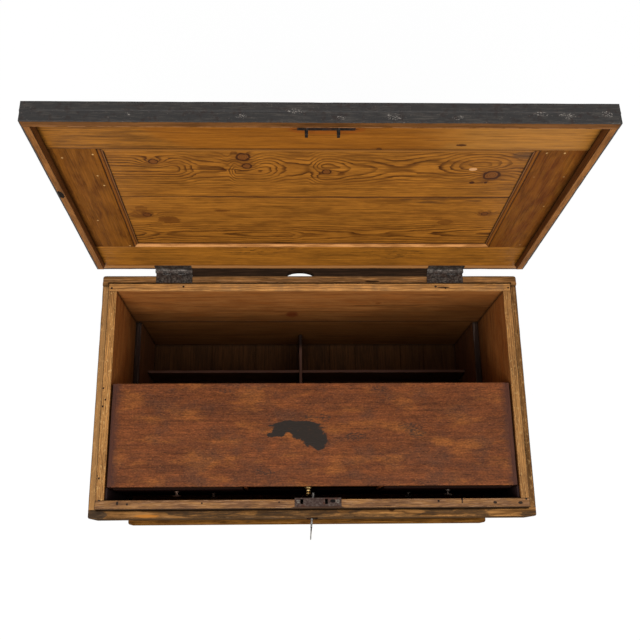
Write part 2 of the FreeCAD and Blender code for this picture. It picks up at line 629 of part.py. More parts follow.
def lock_bolt():
    """The sliding bolt, drawn back: a bar with two hooked tongues and a talon for the key's bit."""
    y = around(STAPLE_Y, BOLT_THICKNESS)
    bar_z = bolt_bar_z()
    eye_middle = LID_UNDER - STAPLE_EYE_TOP - STAPLE_EYE_HEIGHT / 2
    tongue_z = around(eye_middle, BOLT_TONGUE_HEIGHT)
    talon_x = (KEY_X - BOLT_TALON_FROM_KEY - BOLT_TALON_WIDTH, KEY_X - BOLT_TALON_FROM_KEY)
    solids = [block(talon_x, y, (KEY_Z - BOLT_TALON_BELOW_KEY, bar_z[1]))]
    bar_end = talon_x[0]
    for x in STAPLE_X:
        tip = x + STAPLE_THICKNESS / 2 + BOLT_EYE_CLEARANCE
        post = (tip + BOLT_TONGUE_LENGTH, tip + BOLT_TONGUE_LENGTH + BOLT_POST)
        solids.append(block((tip, post[1]), y, tongue_z))
        solids.append(block(post, y, (bar_z[1], tongue_z[1])))
        bar_end = post[1]
    solids.append(block((talon_x[0], bar_end), y, bar_z))
    parts["lock_bolt"] = [fuse(solids)]


def link_plate():
    """The plate on the lid with the two staples that the bolt catches."""
    y = around(STAPLE_Y, LINK_PLATE_WIDTH)
    solids = [block(LINK_PLATE_X, y, (LID_UNDER, LID_UNDER + LINK_PLATE_THICKNESS))]
    for x in STAPLE_X:
        solids.append(block(around(x, STAPLE_THICKNESS), around(STAPLE_Y, STAPLE_WIDTH),
                            (LID_UNDER - STAPLE_LENGTH, LID_UNDER)))
    plate = fuse(solids)
    eye_top = LID_UNDER - STAPLE_EYE_TOP
    for x in STAPLE_X:
        plate = plate.cut(block(around(x, 2 * STAPLE_THICKNESS), around(STAPLE_Y, STAPLE_EYE_WIDTH),
                                (eye_top - STAPLE_EYE_HEIGHT, eye_top)))
    parts["lock_link_plate"] = [plate]
    recess = block(LINK_PLATE_X, y, (LID_UNDER, LID_UNDER + LINK_PLATE_THICKNESS))
    parts["lid_rail_front"] = [parts["lid_rail_front"][0].cut(recess)]
    inset = 2 * SCREW_HEAD_RADIUS
    places = (LINK_PLATE_X[0] + inset, sum(STAPLE_X) / 2, LINK_PLATE_X[1] - inset)
    fixings = [screw(x, STAPLE_Y, LID_UNDER, (0, 0, 1)) for x in places]
    drive(fixings, ("lock_link_plate", "lid_rail_front"))
    return fixings


def key():
    """The key, its bit hanging down, built along Y and then leaned sideways about the lock."""
    tip = LOCK_BACK_Y + KEY_TIP_BEYOND_LOCK
    end = tip - KEY_LENGTH
    bow_centre = end + KEY_BOW_RADIUS
    half = KEY_BOW_THICKNESS / 2
    ring = rod((KEY_X - half, bow_centre, KEY_Z), (KEY_X + half, bow_centre, KEY_Z), KEY_BOW_RADIUS)
    hole = rod((KEY_X - half, bow_centre, KEY_Z), (KEY_X + half, bow_centre, KEY_Z), KEY_BOW_HOLE_RADIUS)
    shaft_start = bow_centre + (KEY_BOW_RADIUS + KEY_BOW_HOLE_RADIUS) / 2
    bit_start = LOCK_FRONT_Y + LOCK_SHEET + KEY_BIT_CLEARANCE
    bit_y = (bit_start, bit_start + KEY_BIT_WIDTH)
    bit = block(around(KEY_X, KEY_BIT_THICKNESS), bit_y, (KEY_Z - KEY_BIT_LENGTH, KEY_Z))
    shape = fuse([rod((KEY_X, shaft_start, KEY_Z), (KEY_X, tip, KEY_Z), KEY_RADIUS), ring.cut(hole), bit])
    shape.rotate(FreeCAD.Vector(KEY_X, LOCK_FRONT_Y, KEY_Z), FreeCAD.Vector(0, 0, 1), -KEY_LEAN)
    parts["key"] = [shape]


# ---- drop handles ----

def handle_ear(y_side):
    """One ear on the right end board, its boss around the line that the bail turns on."""
    inner = HANDLE_SPAN / 2 + BAIL_BEND + EAR_CLEARANCE
    boss_y = sorted((y_side * inner, y_side * (inner + EAR_LENGTH)))
    middle = sum(boss_y) / 2
    boss = rod((HANDLE_X, boss_y[0], HANDLE_Z), (HANDLE_X, boss_y[1], HANDLE_Z), EAR_BOSS_RADIUS)
    web = block((WALL_X, HANDLE_X), boss_y, (HANDLE_Z - EAR_BOSS_RADIUS, HANDLE_Z + EAR_BOSS_RADIUS))
    plate = block((WALL_X, WALL_X + EAR_PLATE_THICKNESS), around(middle, EAR_PLATE_WIDTH),
                  around(HANDLE_Z, EAR_PLATE_HEIGHT))
    plate = plate.makeFillet(EAR_PLATE_CORNER, edges_along(plate, (1, 0, 0)))
    bore = rod((HANDLE_X, boss_y[0], HANDLE_Z), (HANDLE_X, boss_y[1], HANDLE_Z), BAIL_RADIUS + BAIL_FIT)
    return fuse([boss, web, plate]).cut(bore), middle


def bail():
    """The hanging bail of the right handle, with its ends turned out into the ears."""
    arm = HANDLE_SPAN / 2
    low = HANDLE_Z - HANDLE_DROP
    reach = arm + BAIL_BEND + EAR_CLEARANCE + EAR_LENGTH

    def at(y, z):
        return FreeCAD.Vector(HANDLE_X, y, z)

    def bend(centre_y, centre_z, radius, first_degrees):
        angles = [math.radians(first_degrees + turn) for turn in (0, 45, 90)]
        points = [at(centre_y + radius * math.cos(a), centre_z + radius * math.sin(a)) for a in angles]
        return Part.Arc(*points).toShape()

    edges = [
        Part.makeLine(at(-reach, HANDLE_Z), at(-arm - BAIL_BEND, HANDLE_Z)),
        bend(-arm - BAIL_BEND, HANDLE_Z - BAIL_BEND, BAIL_BEND, 0),
        Part.makeLine(at(-arm, HANDLE_Z - BAIL_BEND), at(-arm, low + BAIL_CORNER)),
        bend(-arm + BAIL_CORNER, low + BAIL_CORNER, BAIL_CORNER, 180),
        Part.makeLine(at(-arm + BAIL_CORNER, low), at(arm - BAIL_CORNER, low)),
        bend(arm - BAIL_CORNER, low + BAIL_CORNER, BAIL_CORNER, 270),
        Part.makeLine(at(arm, low + BAIL_CORNER), at(arm, HANDLE_Z - BAIL_BEND)),
        bend(arm + BAIL_BEND, HANDLE_Z - BAIL_BEND, BAIL_BEND, 90),
        Part.makeLine(at(arm + BAIL_BEND, HANDLE_Z), at(reach, HANDLE_Z)),
    ]
    path = Part.Wire(Part.__sortEdges__(edges))
    section = Part.Wire(Part.Circle(at(-reach, HANDLE_Z), FreeCAD.Vector(0, 1, 0), BAIL_RADIUS).toShape())
    return path.makePipeShell([section], True, False)


def handles():
    ears = []
    fixings = []
    for y_side in (-1, 1):
        ear, middle = handle_ear(y_side)
        heights = (HANDLE_Z - EAR_SCREW_RISE, HANDLE_Z + EAR_SCREW_RISE)
        holes = [screw(WALL_X + EAR_PLATE_THICKNESS, middle, z, (-1, 0, 0)) for z in heights]
        ears.append(ear)
        fixings += holes
    right = bail()
    parts["handle_ears"] = ears + [mirrored_x(ear) for ear in ears]
    parts["handle_bail_right"] = [right]
    parts["handle_bail_left"] = [mirrored_x(right)]
    fixings += [mirrored_x(hole) for hole in fixings]
    drive(fixings, ("handle_ears", "left_end_board", "right_end_board"))
    return fixings


# ---- till ----

def till():
    x_out = INNER_X - TILL_SIDE_CLEARANCE
    x_in = x_out - TILL_END_THICKNESS
    y = (TILL_FRONT_Y, TILL_FRONT_Y + TILL_DEPTH)
    bottom = LEDGE_TOP + TILL_SEAT_CLEARANCE
    top = RIM - TILL_BELOW_RIM
    under_top = top - TILL_TOP_THICKNESS
    shelf_top = under_top - UPPER_DRAWER_SPACE
    inside_y = (y[0], y[1] - TILL_BACK_THICKNESS)
    parts["till_end_left"] = [block((-x_out, -x_in), y, (bottom, top))]
    parts["till_end_right"] = [block((x_in, x_out), y, (bottom, top))]
    parts["till_top"] = [block((-x_in, x_in), y, (under_top, top))]
    parts["till_back"] = [block((-x_in, x_in), (inside_y[1], y[1]), (bottom, under_top))]
    parts["till_bottom"] = [block((-x_in, x_in), inside_y, (bottom, bottom + TILL_SHELF_THICKNESS))]
    parts["till_shelf"] = [block((-x_in, x_in), inside_y, (shelf_top - TILL_SHELF_THICKNESS, shelf_top))]
    parts["till_partitions"] = [
        block(around(x, PARTITION_THICKNESS), inside_y, (shelf_top, under_top)) for x in PARTITION_X]
    half = PARTITION_THICKNESS / 2
    upper_z = (shelf_top, under_top)
    lower_z = (bottom + TILL_SHELF_THICKNESS, shelf_top - TILL_SHELF_THICKNESS)
    drawer("left", (-x_in, PARTITION_X[0] - half), upper_z)
    drawer("middle", (PARTITION_X[0] + half, PARTITION_X[1] - half), upper_z)
    drawer("right", (PARTITION_X[1] + half, x_in), upper_z)
    drawer("lower", (-x_in, x_in), lower_z)


def drawer(name, space_x, space_z):
    """A drawer that fills its space in the till but for its clearances, with its knobs."""
    x = (space_x[0] + DRAWER_SIDE_CLEARANCE, space_x[1] - DRAWER_SIDE_CLEARANCE)
    z = (space_z[0] + DRAWER_SEAT_CLEARANCE, space_z[1] - DRAWER_TOP_CLEARANCE)
    face = TILL_FRONT_Y - DRAWER_PULLED_OUT[name]
    inside = face + DRAWER_FRONT
    rear = face + DRAWER_DEPTH
    side_z = (z[0], z[1] - DRAWER_SIDE_BELOW_FRONT)
    inner_x = (x[0] + DRAWER_SIDE, x[1] - DRAWER_SIDE)
    bottom = z[0] + DRAWER_BOTTOM_RAISE
    parts[f"drawer_front_{name}"] = [block(x, (face, inside), z)]
    parts[f"drawer_box_{name}"] = [
        block((x[0], inner_x[0]), (inside, rear), side_z),
        block((inner_x[1], x[1]), (inside, rear), side_z),
        block(inner_x, (rear - DRAWER_SIDE, rear), side_z),
        block(inner_x, (inside, rear - DRAWER_SIDE), (bottom, bottom + DRAWER_BOTTOM)),
    ]
    middle = sum(z) / 2
    if name == "middle":
        knobs = [brass_knob(KNOB_X[name], face, middle)]
    elif name == "lower":
        knobs = [iron_knob(knob_x, face, middle) for knob_x in LOWER_KNOB_X]
    else:
        knobs = [iron_knob(KNOB_X[name], face, middle)]
    parts[f"drawer_knob_{name}"] = knobs


def domed(start, radius, end):
    """A dome between (start, radius) and (end, 0): three points of a circle centred on the axis."""
    height = end - start
    sphere = (radius ** 2 + height ** 2) / (2 * height)
    half = math.asin(min(1.0, radius / sphere)) / 2
    return (start, radius), (end - sphere * (1 - math.cos(half)), sphere * math.sin(half)), (end, 0)


def turned(x, y, z, edges):
    """A turned knob on a drawer's face at x, y, z. Its edges are given as (out, radius) points."""
    shapes = []
    for points in edges:
        placed = [FreeCAD.Vector(x + radius, y - out, z) for out, radius in points]
        shape = Part.makeLine(*placed) if len(placed) == 2 else Part.Arc(*placed).toShape()
        shapes.append(shape)
    outline = Part.Face(Part.Wire(shapes))
    return outline.revolve(FreeCAD.Vector(x, y, z), FreeCAD.Vector(0, 1, 0), 360)


def iron_knob(x, y, z):
    """A flat disc on a thin stem with a small flange."""
    flange = IRON_KNOB_FLANGE_THICKNESS
    disc = IRON_KNOB_LENGTH - IRON_KNOB_DISC - IRON_KNOB_CROWN
    crown = IRON_KNOB_LENGTH - IRON_KNOB_CROWN
    return turned(x, y, z, [
        ((0, 0), (0, IRON_KNOB_FLANGE)),
        ((0, IRON_KNOB_FLANGE), (flange / 2, IRON_KNOB_FLANGE)),
        ((flange / 2, IRON_KNOB_FLANGE), (flange, IRON_KNOB_STEM)),
        ((flange, IRON_KNOB_STEM), (disc, IRON_KNOB_STEM)),
        ((disc, IRON_KNOB_STEM), (crown, IRON_KNOB_RADIUS)),
        domed(crown, IRON_KNOB_RADIUS, IRON_KNOB_LENGTH),
        ((IRON_KNOB_LENGTH, 0), (0, 0)),
    ])


def brass_knob(x, y, z):
    """A waisted knob: a broad base, a hollow waist and a rounded head."""
    base = BRASS_KNOB_BASE_THICKNESS
    shoulder = BRASS_KNOB_LENGTH - BRASS_KNOB_CROWN
    return turned(x, y, z, [
        ((0, 0), (0, BRASS_KNOB_BASE)),
        ((0, BRASS_KNOB_BASE), (base, BRASS_KNOB_BASE)),
        ((base, BRASS_KNOB_BASE), ((base + shoulder) / 2, BRASS_KNOB_WAIST), (shoulder, BRASS_KNOB_HEAD)),
        domed(shoulder, BRASS_KNOB_HEAD, BRASS_KNOB_LENGTH),
        ((BRASS_KNOB_LENGTH, 0), (0, 0)),
    ])


# ---- assembly ----

LID_NODES = ("lid_rail_front", "lid_rail_rear", "lid_stile_left", "lid_stile_right", "lid_panel_front",
             "lid_panel_rear", "lid_moulding", "lid_lip_front", "lid_lips_side", "hinge_leaves_upper",
             "lock_link_plate", "lid_screws")

carcase()
skirt_and_plinth()
well()
lid_frame()
lid_lips()
hinge_screws, lid_hinge_screws = hinges()
stop_screws = lid_stop()
drive(stop_screws, ("skirt_rear",))
lock_screws = lock()
lock_bolt()
link_screws = link_plate()
key()
handle_screws = handles()
till()
parts["carcase_screws"] = hinge_screws + stop_screws + lock_screws + handle_screws
parts["lid_screws"] = lid_hinge_screws + link_screws
for name in LID_NODES:
    parts[name] = [opened(piece) for piece in parts[name]]

os.makedirs("parts", exist_ok=True)
for name, solids in parts.items():
    shape = solids[0] if len(solids) == 1 else Part.makeCompound(solids)
    shape.exportStep(f"parts/{name}.step")
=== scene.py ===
import json
import math
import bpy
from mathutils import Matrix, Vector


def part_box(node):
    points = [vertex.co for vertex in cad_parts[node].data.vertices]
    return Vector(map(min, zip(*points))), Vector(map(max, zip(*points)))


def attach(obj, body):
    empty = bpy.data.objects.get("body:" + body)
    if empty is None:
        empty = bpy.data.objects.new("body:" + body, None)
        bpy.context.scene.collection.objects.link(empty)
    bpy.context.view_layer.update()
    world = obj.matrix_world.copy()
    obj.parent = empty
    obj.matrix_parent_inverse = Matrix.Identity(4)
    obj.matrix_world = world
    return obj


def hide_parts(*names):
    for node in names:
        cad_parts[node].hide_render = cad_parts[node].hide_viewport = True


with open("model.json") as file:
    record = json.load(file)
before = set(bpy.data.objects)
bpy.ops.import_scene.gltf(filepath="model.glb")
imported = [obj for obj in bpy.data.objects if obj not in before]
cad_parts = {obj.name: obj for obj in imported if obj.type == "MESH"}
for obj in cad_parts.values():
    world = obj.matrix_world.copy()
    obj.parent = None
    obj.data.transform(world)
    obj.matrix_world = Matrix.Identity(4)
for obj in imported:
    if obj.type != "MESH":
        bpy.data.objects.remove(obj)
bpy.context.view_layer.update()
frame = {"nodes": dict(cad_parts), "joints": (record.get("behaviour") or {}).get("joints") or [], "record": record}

from types import SimpleNamespace

import bmesh
import bpy
from mathutils import Matrix, Vector, noise

# Looks of an old carpenter's tool chest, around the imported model. Objects are in metres.
# Inside the materials every length is in millimetres, and the lid's boards are read as if the
# lid were closed, so one set of directions serves the whole chest.

MM = 0.001
RECORD = frame["record"]
SLOT_OF = {part["node"]: part["material_slot"] for part in RECORD["subparts"]}
BODY_OF = {node: body for body, nodes in RECORD["behaviour"]["bodies"].items() for node in nodes}
LID_JOINT = next(joint for joint in frame["joints"] if joint["name"] == "lid_hinge")
PIVOT = Vector(LID_JOINT["pos_m"])
OPEN_ANGLE = math.radians(LID_JOINT["range_deg"][1])
CLOSE = (Matrix.Translation(PIVOT) @ Matrix.Rotation(OPEN_ANGLE, 4, "X")
         @ Matrix.Translation(-PIVOT))
OPEN = CLOSE.inverted()


def far_corner(node):
    """The high corner of a node's box, in millimetres."""
    return [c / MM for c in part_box(node)[1]]


WALL_X, _, RIM = far_corner("front_board")
WALL_Y = far_corner("back_board_upper")[1]
SKIRT_X, _, SKIRT_TOP = far_corner("skirt_front")
SKIRT_Y = far_corner("skirt_rear")[1]
PLINTH_X = far_corner("plinth_front")[0]
PLINTH_Y = far_corner("plinth_rear")[1]
TILL_X = far_corner("till_end_right")[0]
TILL_SEAM_X = far_corner("till_top")[0]
LEDGE_TOP = far_corner("till_ledge_left")[2]
DIVIDER_TOP = far_corner("well_divider_long")[2]
LID_PIECES = {node for node, body in BODY_OF.items() if body == "lid"}
WELD = 1e-5                    # metres
CUT_PITCH = 22.0               # between the cuts that let a board's edges waver
CUT_INSET = 4.0                # of the cuts along its edges
LID_GAP = 0.6
LID_THICKNESS = 19.0
LID_UNDER = RIM + LID_GAP
LID_TOP = LID_UNDER + LID_THICKNESS
PANEL_X = 387.0                # the lid's opening inside stiles and rails
PANEL_Y = (-176.0, 170.0)
PANEL_SEAM = -19.3
LIP_END = 255.0                # where the side lips end at the hinges
BACK_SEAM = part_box("back_board_upper")[0].z / MM
SHARP = math.radians(55)       # steeper edges than this aren't shaded smooth
NEARLY_FLAT = math.radians(0.6)          # edges flatter than this are left out
RUBBED = math.radians(32)                # outer edges steeper than this are rounded


# ---- camera, lamps and floor ----

CAMERA_AT = (-0.063456, -0.364994, 2.028435)
CAMERA_PITCH = math.radians(74.545)      # below level
CAMERA_YAW = math.radians(-4.474)
CAMERA_ROLL = math.radians(-4.173)
CAMERA_LENS = 40.7175
CAMERA_SHIFT = (0.0332, 0.0645)
WORLD_LIGHT = 0.42
FLOOR_GLOW = 1.06              # of the floor as the camera sees it
FLOOR_GLOW_SHARE = 0.9         # the rest of what the camera sees is the shaded floor
FLOOR_HALF = 9                 # metres
FLOOR_BELOW = 0.5              # keeps the floor clear of the chest's underside


def make_camera():
    turn = Matrix.Rotation(CAMERA_YAW, 3, "Z")
    ahead = turn @ Vector((0, math.cos(CAMERA_PITCH), -math.sin(CAMERA_PITCH)))
    right = turn @ Vector((1, 0, 0))
    down = ahead.cross(right)
    tilted = math.cos(CAMERA_ROLL) * right + math.sin(CAMERA_ROLL) * down
    up = ahead.cross(tilted) * -1
    data = bpy.data.cameras.new("camera")
    data.lens = CAMERA_LENS
    data.sensor_width = 36
    data.shift_x, data.shift_y = CAMERA_SHIFT
    camera = bpy.data.objects.new("camera", data)
    axes = Matrix((tilted, up, -ahead)).transposed()
    camera.matrix_world = Matrix.Translation(CAMERA_AT) @ axes.to_4x4()
    bpy.context.scene.collection.objects.link(camera)
    bpy.context.scene.camera = camera


def make_lamp(name, place, aim, size, watts):
    data = bpy.data.lights.new(name, "AREA")
    data.shape = "RECTANGLE"
    data.size, data.size_y = size
    data.energy = watts
    lamp = bpy.data.objects.new(name, data)
    lamp.location = place
    lamp.rotation_euler = (Vector(aim) - Vector(place)).to_track_quat("-Z", "Y").to_euler()
    bpy.context.scene.collection.objects.link(lamp)


# ---- materials: arithmetic on node sockets ----

def srgb(red, green, blue):
    """A colour given as 0-255 screen values."""
    linear = [c / 12.92 if c <= 0.04045 else ((c + 0.055) / 1.055) ** 2.4
              for c in (red / 255, green / 255, blue / 255)]
    return (*linear, 1.0)


def operator(name, swapped=False):
    """A method of Wire that adds a maths node."""
    def method(self, *others):
        values = (*others, self) if swapped else (self, *others)
        return maths(self.tree, name, *values)
    return method


class Wire:
    """A value in a material's node tree that arithmetic can be written with."""

    def __init__(self, tree, socket):
        self.tree = tree
        self.socket = socket

    __add__ = __radd__ = operator("ADD")
    __sub__ = operator("SUBTRACT")
    __rsub__ = operator("SUBTRACT", swapped=True)
    __mul__ = __rmul__ = operator("MULTIPLY")
    __truediv__ = operator("DIVIDE")
    __pow__ = operator("POWER")
    abs = operator("ABSOLUTE")
    fract = operator("FRACT")
    least = operator("MINIMUM")
    most = operator("MAXIMUM")


def feed(tree, socket, value):
    if isinstance(value, Wire):
        tree.links.new(value.socket, socket)
    else:
        socket.default_value = value


def maths(tree, operation, *values):
    node = tree.nodes.new("ShaderNodeMath")
    node.operation = operation
    for socket, value in zip(node.inputs, values):
        feed(tree, socket, value)
    return Wire(tree, node.outputs[0])


class Surface:
    """A material under construction."""

    def __init__(self, name):
        self.material = bpy.data.materials.new(name)
        self.material.use_nodes = True
        self.tree = self.material.node_tree
        self.tree.nodes.clear()

    def place(self, closed=False):
        """x, y and z in millimetres; closed reads the lid as if it were shut."""
        where = self.tree.nodes.new("ShaderNodeTexCoord").outputs["Object"]
        if closed:
            turn = self.tree.nodes.new("ShaderNodeVectorRotate")
            turn.rotation_type = "X_AXIS"
            turn.inputs["Center"].default_value = PIVOT
            turn.inputs["Angle"].default_value = OPEN_ANGLE
            self.tree.links.new(where, turn.inputs["Vector"])
            where = turn.outputs[0]
        split = self.tree.nodes.new("ShaderNodeSeparateXYZ")
        self.tree.links.new(where, split.inputs[0])
        return [Wire(self.tree, socket) / MM for socket in split.outputs]

    def noise(self, x, y, z, detail=2.0, rough=0.5):
        """Noise from 0 to 1 about 0.5, whose features are about one unit wide."""
        join = self.tree.nodes.new("ShaderNodeCombineXYZ")
        for socket, value in zip(join.inputs, (x, y, z)):
            feed(self.tree, socket, value)
        node = self.tree.nodes.new("ShaderNodeTexNoise")
        node.inputs["Scale"].default_value = 1.0
        node.inputs["Detail"].default_value = detail
        node.inputs["Roughness"].default_value = rough
        self.tree.links.new(join.outputs[0], node.inputs["Vector"])
        return Wire(self.tree, node.outputs[0])

    def band(self, value, start, end):
        """0 up to start, 1 from end on, smooth between; start may be the larger."""
        node = self.tree.nodes.new("ShaderNodeMapRange")
        node.interpolation_type = "SMOOTHSTEP"
        feed(self.tree, node.inputs["Value"], value)
        node.inputs["From Min"].default_value = start
        node.inputs["From Max"].default_value = end
        return Wire(self.tree, node.outputs[0])

    def patches(self, start, end, *where):
        """Noise cut to 0 below start and 1 above end."""
        return self.band(self.noise(*where), start, end)

    def sway(self, reach, *where):
        """Noise about 0 that strays up to half of reach either way."""
        return (self.noise(*where) - 0.5) * reach

    def mix(self, amount, first, second):
        node = self.tree.nodes.new("ShaderNodeMix")
        node.data_type = "RGBA"
        feed(self.tree, node.inputs[0], amount)
        feed(self.tree, node.inputs[6], first)
        feed(self.tree, node.inputs[7], second)
        return Wire(self.tree, node.outputs[2])

    def tint(self, amount, colour, *values):
        """The colour with an amount of another, given as screen values."""
        return self.mix(amount, colour, srgb(*values))

    def scale(self, colour, factor):
        node = self.tree.nodes.new("ShaderNodeVectorMath")
        node.operation = "SCALE"
        self.tree.links.new(colour.socket, node.inputs[0])
        feed(self.tree, node.inputs["Scale"], factor)
        return Wire(self.tree, node.outputs[0])

    def open_to_air(self, reach):
        """1 on open faces and less in corners and seams closer than reach mm."""
        node = self.tree.nodes.new("ShaderNodeAmbientOcclusion")
        node.samples = 6
        node.inputs["Distance"].default_value = reach * MM
        return Wire(self.tree, node.outputs["AO"])

    def spot(self, x, y, centre, radii, ragged=0.0, grain=0.5):
        """1 inside an ellipse with a ragged outline, 0 outside."""
        across = (x - centre[0]) / radii[0]
        along = (y - centre[1]) / radii[1]
        far = (across * across + along * along) ** 0.5
        if ragged:
            rough = self.noise(x / (radii[0] * grain), y / (radii[1] * grain), 0.37, 4.0, 0.6)
            far = far + (rough - 0.5) * ragged
        return self.band(far, 1.08, 0.92)

    def curve(self, value, points):
        """A smooth curve through (value, height) points, level beyond both ends."""
        height = points[0][1]
        for (start, first), (end, second) in zip(points, points[1:]):
            height = self.band(value, start, end) * (second - first) + height
        return height

    def finish(self, colour, roughness=0.5, height=None, metallic=0.0, depth=0.4, shine=0.14):
        """Ends the tree in a shader; height is a relief whose 1 stands depth mm proud."""
        shader = self.tree.nodes.new("ShaderNodeBsdfPrincipled")
        feed(self.tree, shader.inputs["Base Color"], colour)
        feed(self.tree, shader.inputs["Roughness"], roughness)
        shader.inputs["Metallic"].default_value = metallic
        feed(self.tree, shader.inputs["Specular IOR Level"], shine)
        if height is not None:
            bump = self.tree.nodes.new("ShaderNodeBump")
            bump.inputs["Strength"].default_value = 1.0
            bump.inputs["Distance"].default_value = depth * MM
            feed(self.tree, bump.inputs["Height"], height)
            self.tree.links.new(bump.outputs[0], shader.inputs["Normal"])
        out = self.tree.nodes.new("ShaderNodeOutputMaterial")
        self.tree.links.new(shader.outputs[0], out.inputs["Surface"])
        return self.material


# ---- wood ----

USUAL_WOOD = {                 # lengths in millimetres
    "line": 0.7,               # strength of the dark late wood
    "spacing": 5.0,            # of the year rings
    "wander": 30.0,            # how far the rings drift sideways along the board
    "chevron": 14.0,           # how far they rise and fall, which makes arches
    "depth": 14.0,             # of the tree's heart under the face
    "fibre": 1.1,              # contrast of the fibres
    "patch": 0.6,              # strength of the mottle
    "cloud": 0.5,              # contrast of the broad shading
    "figure": 60.0,            # how far from the heart the rings stay bold
    "grime": 0.7,              # painted shade and dirt in seams and corners
    "rough": 0.5,
    "threads": 0.4,            # strength of thin dark lines along the grain
    "shine": 0.14,
}


def wood(early, late, mottle, **differences):
    """A kind of board: its three colours and where it differs from the usual one."""
    return SimpleNamespace(early=srgb(*early), late=srgb(*late), mottle=srgb(*mottle),
                           **(USUAL_WOOD | differences))


class Figure:
    """Growth rings given point by point: where the tree's heart lies across the face and how deep it is.
    Arches point to where the heart is deeper, and closed rings lie about where it is nearest."""

    def __init__(self, heart, depth):
        self.heart = heart            # (u, v) points
        self.depth = depth            # (u, depth) points


def knot_core(s, u, v, colour, knot, seed):
    at, over, radius = knot
    x = (u - at) / radius
    y = (v - over) / (radius * 0.85)
    far = (x * x + y * y) ** 0.5
    far = far + s.sway(0.6, u / (radius * 0.7), v / (radius * 0.6), seed, 2.0)
    turns = s.band((far * 3.2).fract(), 0.25, 0.9)
    core = s.tint(turns * 0.6, srgb(128, 76, 30), 80, 42, 16)
    halo = s.band(far, 2.3, 1.0)
    rim = s.band(far, 0.68, 0.9) * s.band(far, 1.24, 1.04)
    colour = s.tint(halo * 0.35, colour, 92, 50, 20)
    colour = s.mix(s.band(far, 1.08, 0.92), colour, core)
    return s.tint(rim * 0.9, colour, 54, 24, 10)


def grain(s, u, v, w, wood, seed, heart, knots):
    """The colour and relief of a board: u along the grain, v across the face, w through it.
    heart is a place across the face or a Figure. Knots are (u, v, radius)."""
    drift = s.noise(u / 260, v / 700, seed, 1.5) - 0.5
    rise = s.noise(u / 75, seed + 3.1, v / 500, 1.5) - 0.5
    if isinstance(heart, Figure):
        sideways = v - s.curve(u, heart.heart) + drift * (wood.wander * 0.3)
        down = w + s.curve(u, heart.depth) + rise * (wood.chevron * 0.2)
    else:
        sideways = v - heart + drift * wood.wander
        down = w + wood.depth + rise * wood.chevron
    ring = (sideways * sideways + down * down) ** 0.5 / wood.spacing
    ring = ring + s.sway(0.8, u / 45, v / 9, w / 9 + seed, 2.0)
    swirl = 0.0
    for at, over, radius in knots:
        a = (u - at) / (radius * 3.0)
        b = (v - over) / (radius * 1.6)
        near = maths(s.tree, "POWER", math.e, 0 - (a * a + b * b))
        ring = ring + near * 3.0
        swirl = near + swirl
    phase = ring.fract()
    late = s.band(phase, 0.4, 0.88) * s.band(phase, 1.0, 0.92)
    bold = s.band(sideways.abs(), wood.figure, wood.figure * 0.25) + swirl
    broken = s.patches(0.3, 0.6, u / 120, v / 20, seed + 7.7, 2.0)
    late = late * (0.3 + bold.least(1.0) * 0.7) * (0.5 + broken * 0.5)
    fine = s.noise(u / 22, v / 1.1, w / 1.1 + seed, 3.0, 0.65)
    streak = s.noise(u / 110, v / 3.6, w / 3.6 + seed * 2, 4.0, 0.65)
    blotch = s.noise(u / 70, v / 20, w / 20 + seed * 3, 4.0, 0.65)
    cloud = s.noise(u / 190, v / 80, w / 80 + seed * 4, 2.0)
    thread = s.patches(0.57, 0.68, u / 130, v / 2.6, w / 2.6 + seed * 5, 3.0, 0.6)
    colour = s.mix(late * wood.line, wood.early, wood.late)
    colour = s.mix(s.band(blotch, 0.4, 0.68) * wood.patch, colour, wood.mottle)
    colour = s.mix(thread * wood.threads, colour, wood.late)
    tone = 1 + (fine - 0.5) * wood.fibre + (streak - 0.5) * (wood.fibre * 1.7)
    tone = tone + (cloud - 0.5) * wood.cloud
    colour = s.scale(colour, tone)
    for knot in knots:
        colour = knot_core(s, u, v, colour, knot, seed)
    relief = fine * 0.5 + streak * 0.5 - late * 0.35
    return colour, relief


def shade_and_dirt_in_seams(s, colour, amount, reach=9.0):
    """Painted shade, with some old dirt, in the corners, in the seams and under edges, darker where other faces
    come close.
    """
    closeness = s.band(s.open_to_air(reach), 0.93, 0.45)
    return s.mix(closeness * amount, colour, SEAM_SHADE_AND_DIRT)


def spots(s, colour, x, y, marks, tint, ragged=0.0):
    """Marks of one tint; each is (x, y, radius x, radius y)."""
    for at, over, wide, tall in marks:
        colour = s.mix(s.spot(x, y, (at, over), (wide, tall), ragged), colour, tint)
    return colour


# Colours as they look in soft light, with the values that shape the figure.
PINE_PANEL = wood((164, 104, 34), (72, 36, 8), (112, 66, 20), line=1.0, spacing=7.0, chevron=24.0,
                  figure=64.0, threads=0.5)
PINE_RAIL = wood((164, 104, 32), (104, 60, 16), (124, 76, 24), line=0.6, spacing=5.5, fibre=1.4,
                 threads=0.6)
PINE_STILE = wood((126, 76, 24), (76, 40, 10), (92, 50, 14), line=0.4, threads=0.45, shine=0.04)
PINE_LIP = wood((150, 98, 50), (78, 46, 20), (98, 60, 28), line=0.4, fibre=1.2, spacing=4.0,
                grime=0.35, shine=0.04)
PINE_RIM = wood((192, 138, 78), (106, 66, 30), (140, 96, 52), line=0.6, spacing=4.2, fibre=1.3,
                wander=12.0, chevron=8.0, depth=60.0, figure=500.0)
PINE_SKIRT = wood((170, 120, 68), (76, 46, 20), (98, 68, 40), spacing=4.5, fibre=1.5, wander=16.0,
                  chevron=10.0, depth=50.0, patch=0.7, figure=500.0, shine=0.0)
PINE_PLINTH = wood((132, 88, 38), (62, 36, 12), (84, 52, 22), line=0.6, spacing=4.5, fibre=1.8,
                   patch=0.8, figure=500.0, shine=0.0)
# the well's pine and its floor, darkened as painted shade of the deep well
PINE_WELL_SHADED = wood((96, 58, 32), (50, 28, 16), (60, 36, 22), line=0.5, spacing=7.0)
PINE_FLOOR_SHADED = wood((84, 52, 26), (48, 26, 12), (58, 36, 18), line=0.5, spacing=7.0, rough=0.8)
